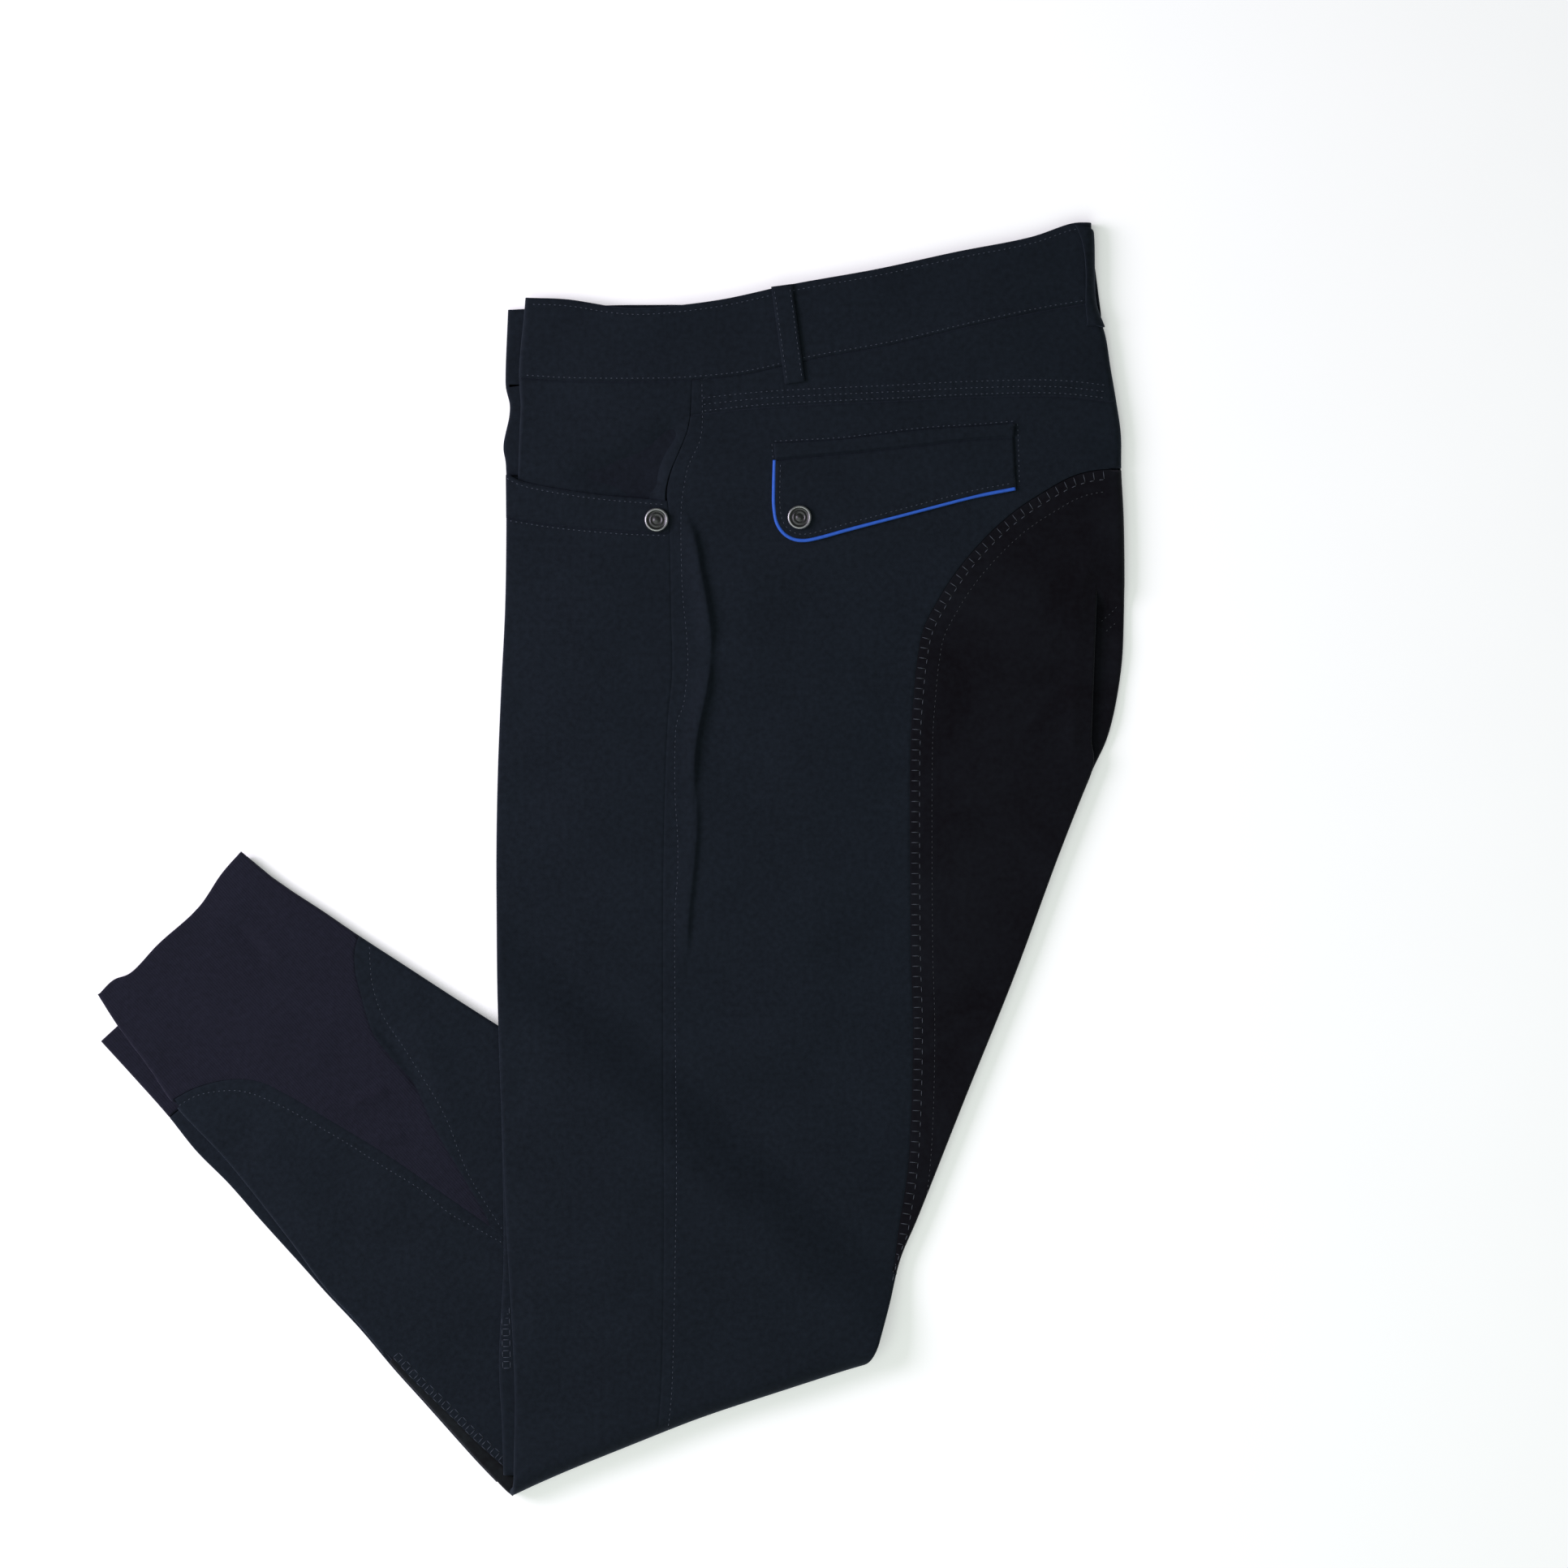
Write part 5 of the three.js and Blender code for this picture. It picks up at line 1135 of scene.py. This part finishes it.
class BREECHES_OT_thighs(bpy.types.Operator):
    """Front panels, yoke and back panel"""
    bl_idname = "breeches.thighs"
    bl_label = "Thighs"

    def execute(self, context):
        rows = ROWS["front"]
        shares = columns(*COLUMNS["front"], left=False)
        left = to_knee(behind_fold(front_fold), rows, BAND_FRONT)
        right = to_knee(side_seam, rows, BAND_SIDE)
        front = over_front(lay(between_seams(left, right, shares, band_seam), thigh_top), right_thigh_top)
        cloth_piece("front_panel_left", [bent(front)], [band_seam, side_seam], UPPER_STITCHES)
        rows = ROWS["yoke"]
        shares = columns(*COLUMNS["yoke"])
        right = between(inner_seat_edge, rows, WAIST_SEAT, YOKE_SEAT)
        plan = between_seams(even(HIP_LINE, rows), right, shares, waist_seam, yoke_seam)
        yoke = with_edge(lay(plan, thigh_top), -1, SEAT_CURL)
        cloth_piece("yoke_left", [yoke], [waist_seam, yoke_seam, HIP_LINE], UPPER_STITCHES)
        before, after = RIDGE["keep"]
        ridge = np.linspace(*RIDGE["shares"])
        self.back(np.concatenate([shares[shares < before], ridge, shares[shares > after]]))
        front = right_strip(right_fold_low, ROWS["right_front"], *RIGHT_FRONT)
        cloth_piece("front_panel_right", [front])
        return {"FINISHED"}

    def back(self, shares):
        """The back panel, with its columns closer together at the crease beside the side seam."""
        seat_rows, patch_rows, knee_rows = ROWS["seat"], ROWS["beside_patch"], ROWS["knee"]
        left = to_knee(side_seam, seat_rows + patch_rows + knee_rows, YOKE_SIDE)
        seam = even(patch_seam, patch_rows, patch_start, height_share(patch_seam, PATCH_END))
        right = np.vstack([
            between(inner_seat_edge, seat_rows, YOKE_SEAT, BACK_LOW), seam[1:],
            to_knee(inner_seat_edge, knee_rows, PATCH_END)[1:],
        ])
        back = lay(between_seams(left[:len(right)], right, shares, yoke_seam), thigh_top)
        seat_side = turned_edge(rows_of(back, 0, seat_rows + 1), -1, SEAT_CURL)
        knee_side = turned_edge(rows_of(back, seat_rows + patch_rows, None), -1, LEG_CURL)
        parts = [bent(back), seat_side, bent(knee_side)]
        cloth_piece("back_panel_left", parts, [yoke_seam, side_seam, patch_seam], UPPER_STITCHES)


class BREECHES_OT_seat_patches(bpy.types.Operator):
    """Full-seat suede patches"""
    bl_idname = "breeches.seat_patches"
    bl_label = "Seat patches"

    def execute(self, context):
        rows = ROWS["patch"]
        shares = columns(*COLUMNS["patch"], right=False)
        left = even(patch_seam, rows, patch_start, height_share(patch_seam, PATCH_END))
        right = between(inner_seat_edge, rows, PATCH_TOP, PATCH_END)
        upper = lay(patch(left, right, shares), thigh_top)
        upper = with_edge(upper, -1, seat_curl_at(upper[0][:, -1, 1]))
        cloth_piece("seat_patch_left", [upper], [patch_seam], UPPER_STITCHES, slot="suede_patch")
        outer = between(seat_edge, ROWS["deep"], *DEEP["levels"])
        radius = mix(DEEP_LAYER / 2 - LAYER_AIR, SEAT_CURL, smooth(*DEEP["rising"], outer[:, 1]))
        outer = outer - np.column_stack([radius, np.zeros(len(radius))])
        plan = patch(outer - (DEEP["wide"], 0), outer, np.linspace(0, 1, DEEP["columns"]))
        points, flat = lay(plan, lambda x, y: DEEP_LAYER + ripple(x, y, *DEEP_RIPPLE))
        level = thigh_top(plan[..., 0], plan[..., 1]) - UNDER_PATCH
        points[..., 2] = mix(points[..., 2], level, smooth(*DEEP["rising"], plan[..., 1]))
        cloth_piece("seat_patch_right", [with_edge((points, flat), -1, radius)], slot="suede_patch")
        return {"FINISHED"}


class BREECHES_OT_lower_legs(bpy.types.Operator):
    """Elastic inserts, calf, shin and knee patch of the folded lower legs"""
    bl_idname = "breeches.lower_legs"
    bl_label = "Lower legs"

    def execute(self, context):
        shin = shin_edge - outward(shin_edge, 1) * LEG_CURL
        calf = calf_edge - outward(calf_edge, -1) * LEG_CURL
        insert_end = height_share(shin, INSERT_LOWER_SEAM[0][1])
        knee_start = height_share(shin, KNEE_PATCH_SEAM[0][1])
        calf_start = height_share(calf, CALF_LOW)
        hem_rows = ROWS["hem"]
        meet = even(np.array(SEAMS_MEET, float), ROWS["meet"])
        upper, lower = (
            even(seam, ROWS["insert"], *INSERT_STRETCH) for seam in (insert_upper_seam, insert_lower_seam)
        )
        left = np.vstack([even(shin, hem_rows, HEM_START, insert_end)[:-1], lower, meet[0] - (SEAM_HALF, 0)])
        right = np.vstack([even(calf, hem_rows, HEM_START, calf_start)[:-1], upper, meet[0] + (SEAM_HALF, 0)])
        shares = columns(*COLUMNS["insert"])
        top = at_shares(hem[::-1], mix(*HEM_STRETCH, shares))
        insert = lay(patch(left, right, shares, top, fade=HEM_FADE), shin_top)
        edges = [turned_edge(rows_of(insert, 0, hem_rows + 1), side, LEG_CURL) for side in (1, -1)]
        cloth_piece(
            "calf_insert_right", [insert, *edges], [insert_upper_seam, insert_lower_seam], LOWER_STITCHES,
            slot="elastic_knit", grain=LEG_GRAIN,
        )
        left = np.vstack([upper, meet])
        right = even(calf, len(left) - 1, calf_start + EDGE_STEP, 1)
        plan = patch(left, right, columns(*COLUMNS["calf"], right=False))
        panel = with_edge(lay(plan, shin_top), -1, LEG_CURL)
        cloth_piece("calf_panel_right", [panel], [insert_upper_seam], LOWER_STITCHES, grain=LEG_GRAIN)
        self.shin_and_knee(shin, np.vstack([lower, meet]), insert_end, knee_start)
        self.left_leg()
        return {"FINISHED"}

    def shin_and_knee(self, shin, right, insert_end, knee_start):
        """The shin panel, and the lower end of the full seat beyond its seam."""
        rows = ROWS["knee_patch"]
        seam = even(knee_patch_seam, rows)
        count = len(right) - 1 - rows
        left = np.vstack([even(shin, count, insert_end + EDGE_STEP, knee_start - KNEE_STEP)[:-1], seam])
        panel = lay(patch(left, right[:len(left)], columns(*COLUMNS["shin"])), shin_top)
        edge = turned_edge(rows_of(panel, 0, count), 1, LEG_CURL)
        seams = [insert_lower_seam, knee_patch_seam]
        cloth_piece("shin_panel_right", [panel, edge], seams, LOWER_STITCHES, grain=LEG_GRAIN)
        past_shin, past_seam = KNEE_PAST
        left = np.vstack([even(shin, rows, knee_start + KNEE_STEP, 1), shin[-1] + past_shin])
        right = np.vstack([seam, seam[-1] + past_seam])
        panel = lay(patch(left, right, np.linspace(0, 1, KNEE_COLUMNS)), shin_top)
        cloth_piece(
            "knee_patch_right", [with_edge(panel, 1, LEG_CURL)], [knee_patch_seam], slot="suede_patch",
            finish="suede_end", grain=LEG_GRAIN,
        )

    def left_leg(self):
        """Strips of the left lower leg that show past the right one."""
        inner = left_shin_edge - outward(left_shin_edge, 1) * LEG_CURL
        end = height_share(inner, LEFT_LEG["insert_low"])
        for node, start, stop, rows, slot in (
            ("calf_insert_left", 0.0, end - LEFT_LEG["apart"], ROWS["left_insert"], "elastic_knit"),
            ("shin_panel_left", end + LEFT_LEG["apart"], 1.0, ROWS["left_shin"], "navy_stretch"),
        ):
            edge = even(inner, rows, start, stop)
            far = edge - outward(edge, 1) * LEFT_LEG["wide"]
            plan = patch(edge, far, np.linspace(0, 1, LEFT_LEG["columns"]))
            panel = lay(plan, lambda x, y: np.full_like(x, LEG))
            cloth_piece(node, [with_edge(panel, 1, LEG_CURL)], slot=slot, grain=LEG_GRAIN)


def pocket_plan(top, low, rows):
    """Plan of a piece of the back pocket between its upper and lower lines."""
    left, right = (even(np.array([top[i], low[i]]), rows) for i in (0, -1))
    return patch(left, right, POCKET_SHARES, top, low)


class BREECHES_OT_back_pocket(bpy.types.Operator):
    """Flap and welt of the back pocket, with the flap's piping"""
    bl_idname = "breeches.back_pocket"
    bl_label = "Back pocket"

    def execute(self, context):
        flap_line = curve(FLAP_TOP)

        def flap_top(x, y):
            low, high = FLAP["bulge_y"]
            bulge = smooth(*low, y) * smooth(*high, y) * smooth(*FLAP["bulge_x"], x) * FLAP["bulge"]
            return thigh_top(x, y) + mix(*FLAP["rise"], smooth(*FLAP["rise_x"], x)) + bulge

        def welt_top(x, y):
            under_flap = smooth(*WELT["groove"], y - np.interp(x, flap_line[:, 0], flap_line[:, 1]))
            return thigh_top(x, y) + mix(*WELT["rise"], under_flap)

        on_back = {"thick": POCKET_CLOTH, "held": "laid", "rests_on": "back_panel_left_cloth"}
        top, low = (at_shares(line, POCKET_SHARES) for line in (flap_line, curve(FLAP_LOW)))
        flap = lay(pocket_plan(top - (0, FLAP["below"]), low, FLAP["rows"]), flap_top)
        cloth_piece("back_pocket_flap", [flap], [curve(PIPING)], UPPER_STITCHES, **on_back)
        upper = at_shares(curve(WELT_TOP), POCKET_SHARES)
        welt = lay(pocket_plan(upper, top - (0, WELT["below"]), WELT["rows"]), welt_top)
        cloth_piece("back_pocket_welt", [welt], [curve(WELT_TOP), flap_line], UPPER_STITCHES, **on_back)
        path = even(curve(PIPING), PIPING_STEPS)
        z = thigh_top(path[:, 0], path[:, 1]) + PIPING_RADIUS + PIPING_RISE
        path = np.column_stack([path, z])
        round_cord("flap_piping_cord", path, PIPING_RADIUS, "blue_piping", "flap_piping")
        return {"FINISHED"}


def round_cord(name, path, radius, slot, node):
    """A round cord along a path, swept by bmesh from a circle."""
    bm = bmesh.new()
    before = None
    for point, direction in zip(path, np.gradient(path, axis=0)):
        turn = Vector(direction).to_track_quat("Z", "Y").to_matrix().to_4x4()
        place = Matrix.Translation(Vector(point) * MM) @ turn
        ring = bmesh.ops.create_circle(
            bm, cap_ends=False, radius=radius * MM, segments=CORD_SEGMENTS, matrix=place,
        )["verts"]
        edges = list({edge for vert in ring for edge in vert.link_edges})
        if before is not None:
            bmesh.ops.bridge_loops(bm, edges=before + edges)
        before = edges
    close_up(bm)
    finished(name, bm, slot, node)


def close_up(bm):
    """Closes a turned or swept shape's ends, with its faces outwards."""
    bmesh.ops.holes_fill(bm, edges=[e for e in bm.edges if e.is_boundary], sides=0)
    bmesh.ops.recalc_face_normals(bm, faces=bm.faces)


class BREECHES_OT_belt_loops(bpy.types.Operator):
    """Belt loops at the side and at the back"""
    bl_idname = "breeches.belt_loops"
    bl_label = "Belt loops"

    def execute(self, context):
        rows = ROWS["loop"]
        corners = np.array(LOOP, float)
        shares = np.linspace(0, 1, LOOP_SHAPE["columns"])
        down = np.linspace(0, 1, rows + 1)[:, None]
        points, flat = lay(patch(even(corners[:2], rows), even(corners[2:], rows), shares), thigh_top)
        crown = 1 - np.abs(2 * shares[None, :] - 1) ** LOOP_SHAPE["edge"]
        ends = smooth(0, LOOP_SHAPE["end"], down) * smooth(1, 1 - LOOP_SHAPE["end"], down)
        bow = np.sin(math.pi * down) * ends
        points[..., 2] += LOOP_SHAPE["rise"] + LOOP_SHAPE["crown"] * crown + LOOP_SHAPE["bow"] * bow
        on_band = {"thick": LOOP_CLOTH, "rests_on": "waistband_left_cloth"}
        cloth_piece("belt_loop_side", [(points, flat)], held="laid", **on_band)
        across = np.linspace(0, 1, BACK_LOOP["columns"])[None, :]
        steep, round_off = BACK_LOOP["lean_powers"]
        lean = BACK_LOOP["lean"] * (1 - down) ** steep * across ** round_off
        y = mix(BACK_LOOP["top"], BACK_LOOP["low"], down) - lean
        bow = np.sin(math.pi * down) ** BACK_LOOP["bow_power"]
        radius = SEAT_CURL + BACK_LOOP["rise"] + BACK_LOOP["clear"] * bow
        reach = mix(mix(*BACK_LOOP["start"], bow), radius * math.radians(BACK_LOOP["to"]), across)
        turn = np.maximum(0, reach) / radius
        x = seat_edge_at(y) - SEAT_CURL + radius * np.sin(turn) + np.minimum(0, reach)
        z = THIGHS - SEAT_CURL + radius * np.cos(turn)
        points = np.stack(np.broadcast_arrays(x, y, z), axis=-1)
        flat = np.stack(np.broadcast_arrays(seat_edge_at(y) + reach, y), axis=-1)
        cloth_piece("belt_loop_back", [(points, flat)], **on_band)
        return {"FINISHED"}


class BREECHES_OT_snaps(bpy.types.Operator):
    """Steel snaps of the pockets"""
    bl_idname = "breeches.snaps"
    bl_label = "Snaps"

    def execute(self, context):
        segments = context.scene.breeches_sizes.snap_segments
        for node, (x, y) in SNAPS.items():
            low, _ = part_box(node)
            bm = bmesh.new()
            verts = [bm.verts.new((x * MM + r * MM, y * MM, low.z + h * MM)) for r, h in SNAP_PROFILE]
            edges = [bm.edges.new(pair) for pair in zip(verts, verts[1:])]
            bmesh.ops.spin(
                bm, geom=verts + edges, cent=(x * MM, y * MM, low.z), axis=(0, 0, 1), angle=2 * math.pi,
                steps=segments, use_merge=True,
            )
            bmesh.ops.remove_doubles(bm, verts=bm.verts, dist=1e-6)
            close_up(bm)
            # Distance from the snap's centre, from which the steel paints a highlight on the rim and shade
            # over the centre
            ring = bm.verts.layers.float.new("ring")
            for vert in bm.verts:
                vert[ring] = math.dist(vert.co[:2], (x * MM, y * MM))
            finished(f"{node}_cap", bm, "snap_metal", node)
        return {"FINISHED"}


def surface_of(*nodes):
    """What is seen from above of some pieces of cloth, to set stitches on."""
    points, faces = [], []
    for node in nodes:
        mesh = bpy.data.objects[f"{node}_cloth"].data
        places = np.empty(len(mesh.vertices) * 3, dtype=np.float32)
        mesh.vertices.foreach_get("co", places)
        faces += [[corner + len(points) for corner in face.vertices] for face in mesh.polygons]
        points += places.reshape(-1, 3).tolist()
    return BVHTree.FromPolygons(points, faces)


def set_on(surface, x, y):
    """Point and normal of a surface below a place."""
    place, normal, _, _ = surface.ray_cast(Vector((x * MM, y * MM, ABOVE_ALL)), Vector((0, 0, -1)))
    if place is None:
        return None, None
    return place, normal if normal.z > 0 else -normal


def sew(bm, surface, start, end, width):
    """One stitch from a place to another, lying on a surface."""
    (a, normal), (b, _) = set_on(surface, *start), set_on(surface, *end)
    if a is None or b is None or normal.z < STITCH["steepest"]:
        return
    if (b - a).length > STITCH["longest"] * math.dist(start, end) * MM:
        return
    forward = (b - a).normalized()
    side = normal.cross(forward).normalized()
    up = forward.cross(side)
    middle = (a + b) / 2 + up * width * STITCH["rise"]
    half = (b - a).length / 2
    axes = Matrix((forward * half, side * width / 2, up * width * STITCH["high"])).transposed()
    place = Matrix.Translation(middle) @ axes.to_4x4()
    bmesh.ops.create_icosphere(bm, subdivisions=1, radius=1.0, matrix=place)


def sewn_rows(name, rows, surface, sizes, finish="thread", slot="navy_stretch"):
    """Rows of topstitches as one piece."""
    whole = bmesh.new()
    for line in rows:
        bm = bmesh.new()
        places = even(line, max(2, round(lengths(line)[-1] * MM / sizes.stitch_length)))
        for place, after in zip(places, places[1:]):
            start, end = (mix(place, after, STITCH[share]) for share in ("start", "end"))
            sew(bm, surface, start, end, sizes.thread_width)
        mesh = bpy.data.meshes.new("row")
        bm.to_mesh(mesh)
        bm.free()
        whole.from_mesh(mesh)
        bpy.data.meshes.remove(mesh)
    finished(name, whole, slot, material=material_of(finish))


def ladder(name, line, side, surface, sizes, finish="thread", boxed=True):
    """Rungs and rails of the ladder stitch beside a patch, closed into boxes or left open."""
    whole = bmesh.new()
    pitch = (sizes.box_pitch if boxed else sizes.ladder_pitch) / MM
    seam = even(line, max(2, round(lengths(line)[-1] / pitch)))
    across = -side * outward(seam, 1)
    outer = seam + LADDER["apart"] * across
    inner = outer + LADDER["box_wide" if boxed else "wide"] * across
    inner[:, 0] = np.minimum(inner[:, 0], seat_edge_at(inner[:, 1]) - LADDER["inside"])
    width = sizes.thread_width * LADDER["thread"]
    for (a, b), (c, d) in zip(zip(outer, inner), zip(outer[1:], inner[1:])):
        sew(whole, surface, a, b, width)
        sew(whole, surface, b, mix(b, d, LADDER["box" if boxed else "rail"]), width)
        if boxed:
            sew(whole, surface, mix(a, c, LADDER["box"]), mix(b, d, LADDER["box"]), width)
            sew(whole, surface, a, mix(a, c, LADDER["box"]), width)
    finished(name, whole, "suede_patch", material=material_of(finish))


class BREECHES_OT_stitching(bpy.types.Operator):
    """Topstitches along the seams and ladder stitches beside the patches"""
    bl_idname = "breeches.stitching"
    bl_label = "Stitching"

    def execute(self, context):
        sizes = context.scene.breeches_sizes
        upper = surface_of(
            "waistband_left", "pocket_facing_left", "pocket_band_left", "front_panel_left", "yoke_left",
            "back_panel_left", "seat_patch_left",
        )
        pocket = surface_of("back_pocket_flap", "back_pocket_welt", "back_panel_left")
        lower = surface_of("calf_insert_right", "calf_panel_right", "shin_panel_right", "knee_patch_right")
        behind, deep, loop = map(surface_of, ("front_panel_right", "seat_patch_right", "belt_loop_side"))
        on_pocket = ("welt", "welt_side", "flap_side", "flap")
        plain = [row for name, row in UPPER_ROWS.items() if name not in (*on_pocket, "patch_inner")]
        on_suede = ("dark_thread", "suede_patch")
        sewn_rows("topstitches_thigh", plain, upper, sizes)
        sewn_rows("topstitches_patch", [UPPER_ROWS["patch_inner"]], upper, sizes, *on_suede)
        sewn_rows("topstitches_pocket", [UPPER_ROWS[name] for name in on_pocket], pocket, sizes)
        sewn_rows("topstitches_lower_leg", LOWER_STITCHES, lower, sizes)
        ladder("ladder_seat", even(patch_seam, *SEAT_STRETCH), 1, upper, sizes, "pale_thread", False)
        ladder("ladder_knee", even(knee_patch_seam, *KNEE_STRETCH), 1, lower, sizes)
        ladder("ladder_behind", np.array(LADDER_BEHIND), -1, behind, sizes)
        sewn_rows("topstitches_deep", [np.array(row, float) for row in DEEP_ROWS], deep, sizes, *on_suede)
        corners = np.array(LOOP, float)
        edges = [even(mix(corners[:2], corners[2:], share), *LOOP_STRETCH) for share in LOOP_STITCHES]
        sewn_rows("topstitches_loop", edges, loop, sizes)
        return {"FINISHED"}


class BREECHES_OT_hidden_layers(bpy.types.Operator):
    """Finish of the layers that lie between the panels"""
    bl_idname = "breeches.hidden_layers"
    bl_label = "Hidden layers"

    def execute(self, context):
        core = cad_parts["hidden_layers"]
        core.data.materials.clear()
        core.data.materials.append(material_of("inner_cloth"))
        return {"FINISHED"}


FLOOR_SIZE = 3.0
FLOOR_LEVEL = -0.0002
FLOOR_TONES = ((0.90, 0.90, 0.90, 1), (0.93, 0.93, 0.93, 1))
CAMERA = {"lens": 100, "sensor": 36, "sight": 20, "place": (0.09585, 0.0416, 2.424)}
DAYLIGHT = {"Color": (0.92, 1.0, 0.94, 1), "Strength": 0.25}
LIT_PLACE = (0.05, 0.0, 0.0)

# Lamps. Columns: place, size, power, colour
LAMPS = {
    "key": ((-1.35, 0.36, 0.95), 0.9, 23.5, (1.05, 0.945, 1.13)),
    "top": ((-0.3, -0.8, 1.85), 1.8, 17, (0.92, 1.015, 0.93)),
}


class BREECHES_OT_stage(bpy.types.Operator):
    """Pale floor, soft studio light and the camera above the breeches"""
    bl_idname = "breeches.stage"
    bl_label = "Stage"

    def execute(self, context):
        bm = bmesh.new()
        bmesh.ops.create_grid(bm, x_segments=8, y_segments=8, size=FLOOR_SIZE)
        bmesh.ops.translate(bm, verts=bm.verts, vec=(0, 0, FLOOR_LEVEL))
        mesh = bpy.data.meshes.new("floor")
        bm.to_mesh(mesh)
        bm.free()
        floor = bpy.data.objects.new("floor", mesh)
        material, tree, shader, _ = new_material("pale_floor", "Object")
        speckle = add_node(tree, "ShaderNodeTexNoise", {"Scale": 40.0, "Detail": 2.0}).outputs[0]
        paint(tree, shader, *FLOOR_TONES, speckle)
        set_inputs(shader, {
            "Roughness": 0.9, "Specular IOR Level": 0.1,
            "Emission Color": (1, 1, 1, 1), "Emission Strength": 0.3,
        })
        mesh.materials.append(material)
        context.collection.objects.link(floor)
        self.light(context)
        camera = bpy.data.objects.new("camera", bpy.data.cameras.new("camera"))
        camera.data.lens = CAMERA["lens"]
        camera.data.sensor_width = CAMERA["sensor"]
        camera.data.clip_end = CAMERA["sight"]
        camera.location = CAMERA["place"]
        context.collection.objects.link(camera)
        context.scene.camera = camera
        context.scene.view_settings.view_transform = "Standard"
        return {"FINISHED"}

    def light(self, context):
        """Even daylight all round, and two soft lamps."""
        world = bpy.data.worlds.new("studio")
        world.use_nodes = True
        set_inputs(world.node_tree.nodes["Background"], DAYLIGHT)
        context.scene.world = world
        for name, (place, size, power, colour) in LAMPS.items():
            lamp = bpy.data.lights.new(name, "AREA")
            lamp.size = size
            lamp.energy = power
            lamp.color = colour
            light = bpy.data.objects.new(name, lamp)
            light.location = place
            light.rotation_euler = (Vector(LIT_PLACE) - Vector(place)).to_track_quat("-Z", "Y").to_euler()
            context.collection.objects.link(light)


OPERATORS = (
    BREECHES_OT_waistbands,
    BREECHES_OT_hip_pockets,
    BREECHES_OT_thighs,
    BREECHES_OT_seat_patches,
    BREECHES_OT_lower_legs,
    BREECHES_OT_back_pocket,
    BREECHES_OT_belt_loops,
    BREECHES_OT_snaps,
    BREECHES_OT_hidden_layers,
    BREECHES_OT_stitching,
    BREECHES_OT_stage,
)


class BREECHES_PT_panel(bpy.types.Panel):
    """Sizes, colours and pieces of the breeches"""
    bl_idname = "BREECHES_PT_panel"
    bl_label = "Riding breeches"
    bl_space_type = "VIEW_3D"
    bl_region_type = "UI"
    bl_category = "Breeches"

    def draw(self, context):
        for settings in (context.scene.breeches_sizes, context.scene.breeches_colours):
            for name in settings.bl_rna.properties.keys():
                if name not in ("rna_type", "name"):
                    self.layout.prop(settings, name)
        for operator in OPERATORS:
            self.layout.operator(operator.bl_idname)


CLASSES = (BreechesSizes, BreechesColours, *OPERATORS, BREECHES_PT_panel)


def register():
    for cls in CLASSES:
        bpy.utils.register_class(cls)
    bpy.types.Scene.breeches_sizes = PointerProperty(type=BreechesSizes)
    bpy.types.Scene.breeches_colours = PointerProperty(type=BreechesColours)


def unregister():
    del bpy.types.Scene.breeches_colours
    del bpy.types.Scene.breeches_sizes
    for cls in reversed(CLASSES):
        bpy.utils.unregister_class(cls)


def main():
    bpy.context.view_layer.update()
    register()
    for operator in OPERATORS:
        family, name = operator.bl_idname.split(".")
        getattr(getattr(bpy.ops, family), name)()
    bpy.context.view_layer.update()


if __name__ == "__main__":
    main()
